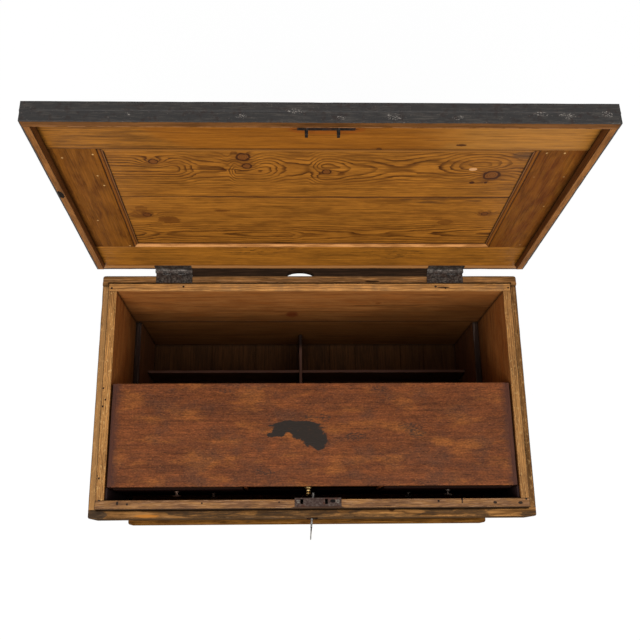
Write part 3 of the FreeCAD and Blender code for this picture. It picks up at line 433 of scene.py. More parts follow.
PINE_DRAWER = wood((170, 126, 82), (122, 82, 48), (140, 100, 64), line=0.45)
MAHOGANY = wood((120, 66, 34), (76, 38, 22), (86, 50, 32), line=0.3, spacing=9.0, fibre=0.9,
                figure=500.0)
# old dark mahogany, darkened nearly to black as painted shade for the pieces in the gap under the till
MAHOGANY_SHADED = wood((30, 15, 11), (20, 10, 8), (24, 13, 10), line=0.35, spacing=9.0, shine=0.03)
CHARCOAL = srgb(55, 53, 52)
DARK_PAINT = srgb(56, 46, 37)
# colour of the painted shade and dirt in seams and corners
SEAM_SHADE_AND_DIRT = srgb(30, 18, 9)
PAINT_SHINE = 0.14
PAINT_LAP = {"lid_lip_front": 0.8, "lid_lips_side": 1.8}         # how much more paint they have


def oriented(place, axes):
    """Sorts x, y and z into along the grain, across the face and through the board. axes names
    the first two, as in "xy"."""
    through = "xyz".translate({ord(axis): None for axis in axes})
    return [place["xyz".index(axis)] for axis in axes + through]


PALE_CHIPS = [(-312, 447, 5, 4), (-131, 446, 9, 5), (-42, 456, 14, 5), (30, 443, 8, 4),
              (114, 446, 14, 7), (218, 445, 9, 5), (354, 452, 12, 5), (397, 449, 14, 6),
              (462, 452, 9, 7)]


def black_paint(s, place, colour, relief, lap):
    """Charcoal paint on what lies within a millimetre or so of the lid's outside, and lap more,
    rubbed off here and there, with pale scratches on the front edge."""
    x, y, z = place
    outer = (LID_TOP - z).least(SKIRT_X - x.abs()).least(SKIRT_Y - y.abs())
    chips = s.noise(x / 5, y / 5, z / 5, 4.0, 0.6)
    painted = s.band(outer + (chips - 0.5) * 1.6, lap + 1.9, lap + 1.3) * s.band(chips, 0.77, 0.72)
    scuffs = s.noise(x / 26, y / 3, z / 3, 5.0, 0.7)
    lumps = s.noise(x / 9, y / 9, z / 9, 3.0)
    black = s.tint(s.band(scuffs, 0.45, 0.75), CHARCOAL, 82, 77, 72)
    black = s.tint(s.band(lumps, 0.52, 0.72) * 0.55, black, 50, 38, 34)
    flecks = s.patches(0.63, 0.7, x / 4, y / 4, z / 2.4, 3.0, 0.65)
    black = s.tint(flecks * 0.45, black, 120, 110, 102)
    crackle = s.patches(0.54, 0.64, x / 2.3, y / 2.3, z / 1.7, 3.0, 0.7)
    scraped = 0.0
    for at, over, wide, tall in PALE_CHIPS:
        scraped = s.spot(x, z, (at, over), (wide, tall), 0.8) + scraped
    front = s.band(y, 20 - SKIRT_Y, 12 - SKIRT_Y)
    black = s.tint((crackle * scraped).least(1.0) * front * 0.65, black, 190, 180, 170)
    colour = s.mix(painted, colour, black)
    return painted, colour, relief * (1 - painted * 0.6) + painted * 0.3


def board(node, wood, axes, seed, marks=None, heart=0.0, knots=(), face=0.0):
    """A board's material. The lid's boards are bare inside and painted outside."""
    lid = node in LID_PIECES
    s = Surface(node)
    place = s.place(closed=lid)
    u, v, w = oriented(place, axes)
    colour, relief = grain(s, u, v, w - (LID_UNDER if lid else face), wood, seed, heart, knots)
    if marks:
        colour = marks(s, place, colour)
    colour = shade_and_dirt_in_seams(s, colour, wood.grime)
    shine = wood.shine
    if lid:
        painted, colour, relief = black_paint(s, place, colour, relief, PAINT_LAP.get(node, 0.0))
        shine = painted * (PAINT_SHINE - wood.shine) + wood.shine
    return s.finish(colour, wood.rough, relief, depth=0.35, shine=shine)


# ---- marks on single boards ----

def seam_line(s, place, colour):
    """Dark joint between the panel's boards, faint at the left."""
    x, y, _ = place
    off = y - PANEL_SEAM + s.sway(3, x / 60, 0.3, 0.9, 2.0)
    line = s.band(off.abs(), 3.2, 1.0)
    strong = s.band(x, -260, -200) * 0.5 + 0.35
    return s.tint(line * strong, colour, 62, 30, 12)


def panel_front_marks(s, place, colour):
    x, y, _ = place
    bend = s.sway(3, x / 26, 0.8, 4.0)
    pith = s.band((y + 110 + bend).abs(), 2.2, 0.8) * s.band(x, -262, -236) * s.band(x, -136, -158)
    colour = s.tint(pith * 0.8, colour, 66, 34, 12)
    corner = s.spot(x, y, (372, -156), (26, 12), 0.8)
    colour = s.tint(corner * 0.5, colour, 74, 52, 34)
    colour = spots(s, colour, x, y, [(284, -112, 7.5, 4.6)], srgb(214, 158, 106), 0.4)
    colour = spots(s, colour, x, y, [(292, -70, 5, 4), (318, -70, 3, 3)], srgb(62, 30, 12), 0.6)
    # painted shade: a dark line along the moulding's quirk next to the front rail
    rail_line = s.band((y - PANEL_Y[0] - 11).abs(), 2.0, 0.6) * s.band(x, 40, 120)
    colour = s.tint(rail_line * 0.5, colour, 84, 44, 14)
    return seam_line(s, place, colour)


def panel_rear_marks(s, place, colour):
    x, y, _ = place
    shade = s.patches(0.45, 0.62, x / 50, y / 9, 2.2, 3.0) * s.spot(x, y, (245, -8), (80, 10), 0.6)
    colour = s.tint(shade * 0.7, colour, 84, 52, 26)
    for at, over, wide, tall, amount in PANEL_SMUDGES:
        smudge = s.spot(x, y, (at, over), (wide, tall), 1.2)
        colour = s.tint(smudge * amount, colour, 88, 44, 12)
    return seam_line(s, place, colour)


PANEL_SMUDGES = [(-352, 44, 22, 14, 0.5), (-346, 24, 12, 12, 0.4), (-296, 66, 22, 14, 0.6),
                 (-330, 84, 16, 7, 0.3), (-186, 30, 16, 4, 0.6), (272, 74, 16, 10, 0.5),
                 (250, 60, 12, 7, 0.3), (346, 40, 16, 10, 0.35)]


def rail_groove_shade(s, place, colour, start):
    """Dust and painted shade in the groove where a rail meets the panel."""
    x, y, _ = place
    shift = s.sway(4, x / 30, 0.4, 2.0, 3.0)
    line = s.band((y - start + shift).abs(), 2.6, 1.0)
    return s.tint(line * 0.45, colour, 92, 52, 18)


def front_rail_marks(s, place, colour):
    x, y, _ = place
    colour = s.scale(colour, 0.86)
    golden = s.spot(x, y, (-20, -215), (260, 60), 0.5)
    colour = s.tint(golden * 0.5, colour, 150, 86, 12)
    pale = s.band(x + s.sway(120, x / 60, y / 12, 3.3), 140, 300)
    colour = s.tint(pale * 0.5, colour, 190, 130, 56)
    streaks = s.patches(0.5, 0.66, x / 120, y / 4, 6.3, 4.0, 0.65)
    colour = s.tint(streaks * 0.45, colour, 96, 56, 16)
    stain = s.spot(x, y, (8, -230), (62, 12), 0.7)
    colour = s.tint(stain * 0.5, colour, 136, 66, 12)
    colour = spots(s, colour, x, y, [(103, -178, 5, 4), (244, -190, 9, 3)], srgb(78, 42, 12), 0.7)
    line = s.band((y + 231 + s.sway(2, x / 14, 0.2, 0.3)).abs(), 1.6, 0.7)
    colour = s.tint(line * s.band(x, -52, -44) * s.band(x, 66, 58) * 0.8, colour, 52, 26, 10)
    return rail_groove_shade(s, place, colour, PANEL_Y[0] - 3)


def rear_rail_marks(s, place, colour):
    """Flecks and, at the hinge side, a rubbed strip and a dark arris."""
    x, y, _ = place
    flecks = s.patches(0.54, 0.64, x / 16, y / 2.5, 5.5, 3.0)
    zone = s.spot(x, y, (-110, 187), (90, 22), 0.5).most(s.spot(x, y, (180, 200), (70, 22), 0.8))
    colour = s.tint(flecks * zone * 0.8, colour, 84, 52, 20)
    shift = s.sway(4, x / 30, 0.4, 2.0, 3.0)
    strip = s.band(y + shift, 254, 259) * s.band(y + shift, 270.5, 268.5)
    colour = s.tint(strip * 0.75, colour, 186, 132, 80)
    colour = s.tint(s.band((y + shift - 255).abs(), 2.5, 1.0) * 0.4, colour, 92, 48, 18)
    return s.tint(s.band(y + shift, 268.5, 270.5) * 0.85, colour, 50, 30, 18)


def stile_marks(s, place, colour):
    x, y, _ = place
    places = [(401, -96), (456, -97), (453, 4), (432, -168), (453, 159), (-403, -96), (-398, -65),
              (-396, -160), (-452, -150), (-440, 60), (-396, 165), (400, -168)]
    colour = spots(s, colour, x, y, [(a, b, 1.8, 1.8) for a, b in places], srgb(206, 164, 104), 0.4)
    dark = s.noise(x / 20, y / 60, 8.8, 4.0, 0.65)
    colour = s.tint(s.band(dark, 0.48, 0.66) * 0.5, colour, 78, 38, 10)
    red = s.band(x, -60, 60) * s.patches(0.35, 0.6, x / 24, y / 50, 2.9, 3.0)
    colour = s.tint(red * 0.5, colour, 98, 46, 14)
    # painted shade on the stile in the corner next to the side lip
    corner = s.band(x.abs() + s.sway(8, x / 9, y / 30, 1.1), 458, 470)
    warm = s.patches(0.46, 0.62, x / 14, y / 90, 4.4, 3.0)
    colour = s.tint(warm * 0.35, colour, 146, 88, 26)
    return s.tint(corner * 0.4, colour, 56, 30, 12)


def lip_marks(s, place, colour):
    """Inner faces darkened to brown, the right a little more, and darker still at their corners, all painted
    shade; the edges that face the chest are scuffed.
    """
    x, y, z = place
    inner = s.band((SKIRT_X - x.abs()).least(SKIRT_Y - y.abs()), 13.5, 14.8)
    # painted shade: the inner faces darkened, the right a little more
    side = s.tint(s.band(x, -60, 60), srgb(92, 56, 30), 88, 50, 24)
    colour = s.mix(inner * 0.75, colour, side)
    # painted shade, darker still along the inner corners
    upper = s.band(z, LID_UNDER - 4.5, LID_UNDER - 2.0)
    corner = upper.most(s.band(z, LID_UNDER - 17, LID_UNDER - 18.5))
    colour = s.tint(corner * inner * 0.65, colour, 34, 16, 8)
    specks = s.patches(0.62, 0.69, x / 3, y / 6, z / 3, 3.0, 0.6)
    colour = s.tint(specks * (1 - inner * 0.7) * 0.4, colour, 188, 142, 92)
    cracks = s.patches(0.59, 0.66, x / 2.4, y / 30, z / 2.4 + 6, 4.0, 0.65)
    colour = s.tint(cracks * 0.45, colour, 56, 36, 20)
    return spots(s, colour, x, y, [(-478, -62, 6, 12)], srgb(26, 16, 8), 0.7)


def front_lip_marks(s, place, colour):
    x, y, _ = place
    pale = s.patches(0.42, 0.6, x / 90, y / 3, 7.1, 4.0, 0.65)
    colour = s.tint(pale * 0.35, s.scale(colour, 0.58), 124, 80, 44)
    arris = s.band((y + SKIRT_Y - 14).abs(), 2.0, 0.7) * s.patches(0.4, 0.55, x / 24, 2.0, 3.1, 3.0)
    colour = s.tint(arris * 0.4, colour, 180, 128, 86)
    rubbed = s.patches(0.5, 0.64, x / 14, y / 2.5, 2.9, 3.0) * s.band(y, 5 - SKIRT_Y, 1 - SKIRT_Y)
    return s.tint(rubbed * 0.8, colour, 48, 34, 24)


# Lines across the side strips of the moulding, as (distance from the stile, width, colour): the dark ones are
# painted shade in the quirks, the orange and pale ones painted highlights
SIDE_SHADE_AND_HIGHLIGHT_LINES = [(1.0, 1.5, srgb(66, 32, 10)), (3.2, 1.8, srgb(148, 90, 36)), (6.0, 1.8, srgb(80, 42, 18)),
             (7.7, 0.9, srgb(136, 90, 50)), (9.3, 1.3, srgb(28, 11, 5))]


def moulding_marks(s, place, colour):
    """Dark lines in the quirks, painted shade, and orange and pale lines on the curves, painted highlights, across
    the side strips;
    along the rear rail a pale strip, a painted highlight, darker at the panel; along the front rail hardly to be
    told from the panel, darker at the rail."""
    x, y, _ = place
    from_side = PANEL_X - x.abs()
    from_front = y - PANEL_Y[0]
    from_rear = PANEL_Y[1] - y
    waver = s.sway(1.6, x / 40, y / 40, 0.7, 3.0)
    sides = srgb(104, 60, 26)
    for at, wide, tint in SIDE_SHADE_AND_HIGHLIGHT_LINES:
        sides = s.mix(s.band((from_side - at + waver).abs(), wide, wide * 0.4), sides, tint)
    wear = s.patches(0.36, 0.6, x / 50, y / 5, 0.7, 3.0)
    # painted highlight: the pale strip along the rear rail, with a painted shade line at the panel
    pale = s.tint(wear, srgb(170, 112, 56), 222, 156, 92)
    pale = s.tint(s.band(from_rear + waver, 6.4, 7.6) * 0.85, pale, 98, 54, 22)
    front = s.tint(s.band(from_front, 2.4, 1.0) * 0.6, srgb(152, 98, 38), 84, 46, 16)
    rails = s.mix(s.band(y, -20, 20), front, pale)
    near_side = s.band(from_front.least(from_rear) - from_side, -0.5, 0.5)
    return s.mix(0.9, colour, s.mix(near_side, rails, sides))


BLOT = [(-34, -80, 54, 14), (-74, -91, 16, 11), (-12, -92, 34, 20), (6, -107, 27, 19),
        (-58, -79, 28, 12), (14, -121, 14, 10), (-90, -98, 10, 5)]
INK_HAZE = [(28, -60, 16, 9), (92, -102, 22, 9), (220, -82, 26, 11), (14, -116, 26, 12),
            (-108, -178, 22, 9), (150, 6, 20, 6), (-190, 2, 16, 5), (-6, -60, 16, 6),
            (228, -96, 20, 10)]


def till_marks(s, place, colour):
    x, y, _ = place
    patches = s.noise(x / 95, y / 34, 4.1, 4.0, 0.6)
    colour = s.tint(s.band(patches, 0.48, 0.7) * 0.55, colour, 164, 98, 44)
    purple = s.noise(x / 60, y / 44, 9.3, 4.0, 0.65)
    colour = s.tint(s.band(purple, 0.47, 0.68) * 0.6, colour, 86, 54, 38)
    dashes = s.noise(x / 4.5, y / 2.0, 1.7, 3.0, 0.65)
    pores = s.noise(x / 16, y / 2.4, 6.2, 3.0, 0.7)
    glints = s.patches(0.58, 0.7, x / 5, y / 2.2, 7.9, 2.0, 0.6)
    colour = s.scale(colour, dashes * 2.0 + pores * 1.5 - 0.78)
    colour = s.tint(glints * 0.3, colour, 190, 120, 62)
    ink = srgb(44, 37, 32)
    blot = 0.0
    for at, over, wide, tall in BLOT:
        blot = s.spot(x, y, (at, over), (wide, tall), 1.1, 0.55).most(blot)
    thin = s.patches(0.28, 0.42, x / 9, y / 2, 2.6, 3.0, 0.6)
    colour = s.mix(blot * (0.86 + thin * 0.14), colour, ink)
    haze = s.patches(0.42, 0.6, x / 8, y / 3, 5.9, 4.0, 0.7)
    for at, over, wide, tall in INK_HAZE:
        colour = s.mix(s.spot(x, y, (at, over), (wide, tall), 1.5, 0.5) * haze * 0.75, colour, ink)
    return till_end_band(s, place, colour)


def till_end_band(s, place, colour):
    x, y, _ = place
    inward = (TILL_X - x.abs()) + s.sway(16, x / 6, y / 12, 3.3, 4.0)
    return s.tint(s.band(inward, 26, 4) * 0.75, colour, 66, 42, 37)


def on_top(s, place, level, colour, marked):
    """Keeps marks to upward faces at a level."""
    return s.mix(s.band(place[2], level - 3.5, level - 1.5), colour, marked)


def rim_marks(s, place, colour):
    """Grey wear on the rim's top, which is also made a little lighter."""
    x, y, z = place
    top = s.band(z, RIM - 2.5, RIM - 1.0)
    grey = s.patches(0.48, 0.68, x / 40, y / 40, 6.6, 4.0, 0.65)
    return s.tint(grey * top * 0.4, s.scale(colour, top * 0.08 + 1), 128, 98, 70)


def front_rim_marks(s, place, colour):
    x, y, _ = place
    bare = colour
    colour = rim_marks(s, place, colour)
    # the front rim darkened all over, a painted shade, and patchily, its own duller tone
    dull = s.noise(x / 50, y / 7, 6.6, 4.0, 0.6)
    colour = s.tint(0.45 + s.band(dull, 0.4, 0.62) * 0.4, colour, 98, 66, 46)
    pale = s.patches(0.54, 0.64, x / 30, y / 1.9, 5.4, 4.0, 0.65)
    colour = s.tint(pale * 0.45, colour, 196, 152, 114)
    cracks = s.patches(0.58, 0.66, x / 34, y / 1.8, 2.4, 4.0, 0.65)
    colour = s.tint(cracks * 0.8, colour, 54, 34, 20)
    stain = s.spot(x, y, (9, -257), (60, 7), 0.5)
    colour = s.tint(stain * 0.9, colour, 62, 40, 30)
    colour = spots(s, colour, x, y, FRONT_SPOTS, srgb(38, 24, 14), 0.6)
    return on_top(s, place, RIM, bare, colour)


FRONT_SPOTS = [(-419, -244, 2.4, 4), (-398, -246, 2.2, 2.2), (-239, -245, 2, 2), (-74, -244, 1.8, 1.8),
               (269, -243, 2.6, 2.2), (320, -240, 2, 4), (391, -247, 4, 3), (446, -248, 5, 3)]
BACK_SPOTS = [(-295, 249, 2.4, 2.4), (-460, 245, 2.4, 2.2), (291, 249, 3, 2.6), (314, 245, 2.2, 2),
              (143, 262, 18, 2.2), (309, 247, 14, 1.6)]


def lengthwise_cracks(s, place, colour):
    """Cracks and worm holes in pieces whose grain runs front to back."""
    x, y, z = place
    cracks = s.patches(0.57, 0.65, x / 2.6, y / 44, z / 2.6 + 4.4, 4.0, 0.65)
    holes = s.patches(0.71, 0.75, x / 3.4, y / 4.8, z / 3.4 + 1.4, 1.0)
    pale = s.patches(0.57, 0.66, x / 4, y / 9, z / 4 + 7.7, 3.0, 0.6)
    colour = s.tint(pale * 0.55, colour, 222, 176, 112)
    colour = s.tint(cracks * 0.75, colour, 66, 42, 20)
    return s.tint(holes * 0.9, colour, 36, 22, 12)


DARK_PATCHES = [(-466, -264, 20, 14), (-250, -262, 90, 9), (-40, -266, 110, 12), (40, -258, 70, 9),
                (262, -262, 44, 9), (341, -267, 40, 8), (471, -271, 20, 7), (-160, -272, 120, 4),
                (130, -272, 90, 4)]
GOLD_PATCHES = [(-420, -268, 40, 7), (-352, -266, 36, 6), (-134, -263, 16, 6), (67, -261, 16, 5),
                (220, -264, 22, 5), (410, -266, 30, 6)]


def worn_paint(s, place, colour, seed, amount, along="x", dark=(), bare=(), even=0.0):
    """Remains of a dark finish, with bare wood between. dark and bare are patches that the
    front skirt has on its top. even closes the finish over the fibres."""
    x, y, z = place if along == "x" else (place[1], place[0], place[2])
    wear = s.noise(x / 60, y / 20 + seed, z / 16, 5.0, 0.7)
    cover = s.band(wear, 0.64 - amount, 0.76 - amount)
    for at, over, wide, tall in dark:
        patch = s.spot(x, y, (at, over), (wide, tall), 1.3, 0.9)
        cover = cover.most(on_top(s, place, SKIRT_TOP, cover, patch))
    for at, over, wide, tall in bare:
        patch = s.spot(x, y, (at, over), (wide, tall), 1.1, 0.8)
        cover = cover * (1 - patch * 0.9)
    fibres = s.patches(0.3, 0.56, x / 18, y / 1.6, z / 1.6 + seed, 4.0, 0.7)
    return s.mix(cover * (fibres * (1 - even) + even) * 0.78, colour, DARK_PAINT)


def front_skirt_marks(s, place, colour):
    """Patches on top; the face keeps more of the dark finish than the top does."""
    x, y, z = place
    orange = s.spot(x, y, (-360, -270), (26, 3), 0.8)
    colour = s.tint(orange * 0.8, colour, 196, 124, 50)
    colour = spots(s, colour, x, y, [(170, -259, 7, 4)], srgb(70, 42, 22), 0.5)
    corner = s.spot(x, y, (-472, -267), (26, 10), 0.9)
    colour = s.tint(corner * 0.75, colour, 64, 56, 48)
    colour = worn_paint(s, place, colour, 1.3, 0.12, "x", DARK_PATCHES, GOLD_PATCHES)
    arris = s.band(y + s.sway(2, x / 12, 0.5, 3.0, 3.0), 2.6 - SKIRT_Y, 1.0 - SKIRT_Y)
    rubbed = s.patches(0.5, 0.64, x / 20, 1.5, 4.0, 3.0)
    colour = s.tint(arris * rubbed * 0.4, colour, 148, 112, 76)
    below = s.band(z, SKIRT_TOP - 0.5, SKIRT_TOP - 3.5)
    return wall_seam_shadow(s, place, s.mix(below * 0.75, colour, DARK_PAINT))


def wall_seam_shadow(s, place, colour):
    """Painted shadow where a skirt's top meets the wall that it is fixed to."""
    x, y, _ = place
    off = (x.abs() - WALL_X).most(y.abs() - WALL_Y) + s.sway(2, x / 12, y / 12, 0.6, 3.0)
    return s.tint(s.band(off, 3.4, 1.4) * 0.85, colour, 34, 21, 11)


def side_skirt_marks(s, place, colour):
    x, y, z = place
    colour = lengthwise_cracks(s, place, colour)
    # the right end darker, a painted shade, and the left end lighter, a painted light
    left = s.band(x, 50, -50)
    colour = s.tint(0.3 - left * 0.3, colour, 96, 66, 40)
    colour = s.tint(left * 0.5, colour, 206, 154, 98)
    edge = (SKIRT_X - x.abs()) + s.sway(3, x / 9, y / 24, z / 9, 3.0)
    colour = s.mix(s.band(edge, 2.4, 0.8) * 0.7, colour, DARK_PAINT)
    return wall_seam_shadow(s, place, worn_paint(s, place, colour, 2.7, 0.02, "y"))


def rear_skirt_marks(s, place, colour):
    x, y, z = place
    dull = s.noise(x / 60, y / 9, 8.4, 4.0, 0.65)
    colour = s.tint(0.15 + s.band(dull, 0.42, 0.6) * 0.45, colour, 112, 80, 52)
    threads = s.patches(0.55, 0.64, x / 70, y / 2.2, z / 3, 4.0, 0.65)
    colour = s.tint(threads * 0.65, colour, 58, 36, 18)
    pale = s.patches(0.54, 0.66, x / 50, y / 2.4, z / 3 + 5, 4.0, 0.65)
    colour = s.tint(pale * 0.5, colour, 184, 142, 98)
    colour = s.mix(s.band(y, SKIRT_Y - 3.0, SKIRT_Y - 1.2) * 0.6, colour, DARK_PAINT)
    colour = wall_seam_shadow(s, place, colour)
    return spots(s, colour, x, y, BACK_SPOTS, srgb(52, 34, 20), 0.6)


def plinth_marks(s, place, colour):
    return worn_paint(s, place, colour, 5.1, 0.05)


def plinth_end_marks(s, place, colour):
    return worn_paint(s, place, colour, 5.1, 0.05, "y")


def bare_inside(s, place, colour, along="x"):
    """Worn dark finish on the outside of the carcase and none on the rim and the inside; the outside's top strip
    above the skirts is darker still, a painted shadow.
    """
    x, y, z = place
    outer = (WALL_X - x.abs()).least(WALL_Y - y.abs())
    finished = worn_paint(s, place, s.scale(colour, 0.8), 8.2, 0.3, along, even=0.75)
    # painted shadow on the strip of the outside just below the rim
    above = s.band(z, RIM - 26, RIM - 20)
    finished = s.tint(above * 0.8, finished, 44, 28, 16)
    return s.mix(s.band(outer, 0.6, 1.6), finished, colour)


def inner_tone(s, place, colour, shadow_rise=0.0):
    """The inner faces are redder than the rim and darken towards the floor, a painted shade of the deep well; the
    last argument lifts that painted shade higher, a painted shadow.
    """
    x, y, z = place
    inner = s.band((WALL_X - x.abs()).least(WALL_Y - y.abs()), 17.0, 18.4)
    below = s.band(z, RIM - 0.8, RIM - 3)
    waver = s.sway(90, x / 110, y / 90, z / 16, 4.0)
    low = s.band(z + waver - shadow_rise, 400, 215)
    red = s.tint(0.55, colour, 158, 84, 30)
    orange = s.patches(0.5, 0.66, x / 80, y / 80, z / 12 + 3, 4.0, 0.65)
    red = s.tint(orange * 0.4, red, 176, 96, 34)
    streaks = s.noise(x / 150, y / 150, z / 7, 4.0, 0.65)
    red = s.tint(s.band(streaks, 0.5, 0.64) * 0.5, red, 104, 50, 18)
    # painted shade: the lower inner faces darkened towards the floor
    brown = s.mix(low, red, s.scale(red, 0.34))
    return s.mix(inner * below, colour, brown)


def front_board_marks(s, place, colour):
    return inner_tone(s, place, bare_inside(s, place, front_rim_marks(s, place, colour)))


def end_board_marks(s, place, colour):
    x, y, _ = place
    shade = s.band(x, -50, 50) * 0.22
    colour = s.tint(shade, lengthwise_cracks(s, place, colour), 92, 62, 36)
    holes = [(-464, 8, 1.8, 2.4), (-458, -18, 1.8, 2.4), (-463, -33, 2, 2.6), (-461, -191, 2, 2.6)]
    holed = spots(s, colour, x, y, holes, srgb(34, 20, 12))
    colour = bare_inside(s, place, on_top(s, place, RIM, colour, holed), "y")
    return inner_tone(s, place, colour, -12.0)


def back_board_marks(s, place, colour):
    x, y, z = place
    # painted shadows on the back wall: its dark lower part rises on the right and at the far left
    shadow_rise = s.band(x, 60, 440) * 90 + s.band(x, -390, -446) * 40
    colour = inner_tone(s, place, bare_inside(s, place, rim_marks(s, place, colour)), shadow_rise)
    colour = spots(s, colour, x, y, BACK_SPOTS, srgb(48, 30, 18), 0.6)
    flecks = s.patches(0.56, 0.66, x / 5, z / 2.5, 4.9, 3.0)
    row = s.spot(x, z, (-278, 373), (44, 5), 0.4)
    colour = s.tint(flecks * row * 0.9, colour, 186, 134, 84)
    bend = s.sway(9, x / 40, 0.4, 7.0)
    crack = s.band((z - 354 + bend).abs(), 2.6, 1.0) * s.band((x - 188).abs(), 92, 70)
    colour = s.tint(crack * 0.8, colour, 54, 28, 12)
    red_knot = s.spot(x, z, (-42, 289), (16, 22), 0.8)
    colour = s.tint(red_knot * 0.5, colour, 92, 30, 12)
    seam = s.band((z - BACK_SEAM + bend * 0.2).abs(), 4.5, 1.2)
    return s.tint(seam * 0.75, colour, 22, 9, 4)


def ledge_marks(s, place, colour):
    """Greyish streaked tops."""
    x, y, z = place
    top = s.band(z, LEDGE_TOP - 2, LEDGE_TOP - 0.8)
    streak = s.patches(0.55, 0.66, x / 2, y / 60, 0.3, 3.0)
    grey = s.tint(streak, srgb(26, 21, 20), 84, 72, 64)
    return s.mix(top * 0.85, colour, grey)


def divider_marks(s, place, colour):
    _, y, z = place
    top = s.band(z, DIVIDER_TOP - 2, DIVIDER_TOP - 0.8)
    # painted shade: the rear ends darkened nearly to black, as the shaded back wall
    colour = s.tint(s.band(y, 186, 212), colour, 34, 19, 12)
    return s.tint(top * s.band(y, 210, 186) * 0.7, colour, 118, 86, 74)


def shaded_strip_marks(s, place, colour):
    """Darker all over, a painted shade for the dark gap in front of the till."""
    return s.tint(0.75, colour, 56, 42, 42)


# ---- metal and paint ----

def iron(name, tone=1.0, rust=0.35, warm=0.0, pits=0.8, metallic=0.5, marks=None):
    """Dark iron. pits is its contrast; warm makes pieces left of the middle browner and paler."""
    s = Surface(name)
    place = s.place()
    x, y, z = place
    lumps = s.noise(x / 5, y / 5, z / 5, 5.0, 0.62)
    wash = s.noise(x / 22, y / 22, z / 22, 3.0, 0.6)
    scratch = s.noise(x / 9, y / 1.6, z / 1.6, 3.0, 0.6)
    dark = srgb(46 * tone, 40 * tone, 36 * tone)
    pale = srgb(118 * tone, 108 * tone, 99 * tone)
    colour = s.mix(s.band(lumps, 0.42, 0.68) * pits, dark, pale)
    colour = s.tint(s.band(wash, 0.48, 0.68) * rust, colour, 80, 50, 34)
    colour = s.tint(s.band(x, 0, -100) * warm, colour, 176, 140, 120)
    colour = s.scale(colour, 0.5 + scratch)
    if marks:
        colour = marks(s, place, colour)
    # painted shade, with some dirt, in the iron's corners and seams
    colour = shade_and_dirt_in_seams(s, colour, 0.6, 4.0)
    return s.finish(colour, 0.42 + lumps * 0.3, lumps * 0.6 + scratch * 0.2, metallic=metallic,
                    depth=0.35, shine=metallic * 0.6)


LOCK_HOLE = (41.5, -242.0)


def selvedge_marks(s, place, colour):
    """A worn screw hole at the right, with a bright burr beside it."""
    x, y, _ = place
    colour = s.tint(0.35, colour, 78, 50, 44)
    burr = s.spot(x, y, (LOCK_HOLE[0] + 6.5, LOCK_HOLE[1]), (1.8, 3.2), 0.5)
    colour = s.tint(burr * 0.7, colour, 150, 136, 124)
    return s.tint(s.spot(x, y, LOCK_HOLE, (6.0, 3.4), 0.3), colour, 10, 5, 4)


def knuckle_rub_and_highlight(s, place, colour):
    """The tops of the hinge knuckles carry a bright line: rubbed metal and a painted highlight."""
    x, y, z = place
    off = (y - PIVOT.y / MM + s.sway(1.6, x / 9, 0.3, 1.7)).abs()
    line = s.band(off, 1.5, 0.5) * s.band(z, PIVOT.z / MM + 1.5, PIVOT.z / MM + 3)
    worn_through = s.patches(0.38, 0.56, x / 7, 0.9, 2.2, 3.0)
    return s.tint(line * (worn_through * 0.6 + 0.2), colour, 168, 158, 150)


def bright_metal(name, light, dark, rough=0.3, metallic=0.85):
    s = Surface(name)
    x, y, z = s.place()
    tarnish = s.noise(x / 4, y / 4, z / 4, 4.0, 0.6)
    fine = s.noise(x / 1.1, y / 1.1, z / 1.1, 2.0)
    colour = s.mix(s.band(tarnish, 0.42, 0.7), light, dark)
    return s.finish(colour, rough + tarnish * 0.2, fine * 0.3, metallic=metallic, depth=0.12)


# Black-painted batten whose brown-black streaks are a painted shade, that of the shadow between the hinges behind
# the chest
def batten_shade_paint():
    s = Surface("batten_painted_shade")
    x, y, z = s.place()
    streaks = s.noise(x / 60, y / 3, z / 3, 4.0, 0.6)
    colour = s.tint(s.band(streaks, 0.4, 0.75), srgb(34, 22, 13), 56, 38, 25)
    return s.finish(colour, 0.8, streaks, depth=0.3, shine=0.05)


def dust(name):
    s = Surface(name)
    x, y, z = s.place()
    crumbs = s.noise(x / 3, y / 3, z / 3, 4.0, 0.7)
    colour = s.tint(s.band(crumbs, 0.4, 0.65), srgb(46, 29, 16), 80, 52, 28)
    return s.finish(colour, 0.95, crumbs, depth=0.8, shine=0.02)


# ---- worn copies of the modelled pieces ----

def on_painted_seam(p):
    """Where the lips meet the lid's frame outside, the paint hides the seam."""
    return abs(p.z - LID_UNDER) < 0.1 and (abs(p.x) > SKIRT_X - 0.1 or p.y < 0.1 - SKIRT_Y)


def on_till_seam(p):
    return abs(abs(p.x) - TILL_SEAM_X) < 0.1


def on_skirt_joint(p):
    """Where front and rear skirts meet those of the ends."""
    return abs(abs(p.y) - WALL_Y) < 0.1 and abs(p.x) > WALL_X + 1


FLUSH = {"skirt_front": on_skirt_joint, "skirt_ends": on_skirt_joint, "skirt_rear": on_skirt_joint,
         "till_top": on_till_seam, "till_end_left": on_till_seam,
         "till_end_right": on_till_seam}
FLUSH.update({node: on_painted_seam for node in LID_PIECES})
LEANING = 4.0                  # the most that an upright edge may lean


def upright_corner(wide, deep):
    """A test for the outer corner edges of a strip wide by deep from the middle."""
    return lambda a, b: (abs(a.x - b.x) < LEANING and abs(a.y - b.y) < 0.1
                         and abs(abs(a.x) - wide) < LEANING and abs(abs(a.y) - deep) < 0.1)


def raised_end(wide, top):
    """A test for the upper end edges of a strip."""
    return lambda a, b: all(abs(abs(p.x) - wide) < LEANING and abs(p.z - top) < 0.1 for p in (a, b))


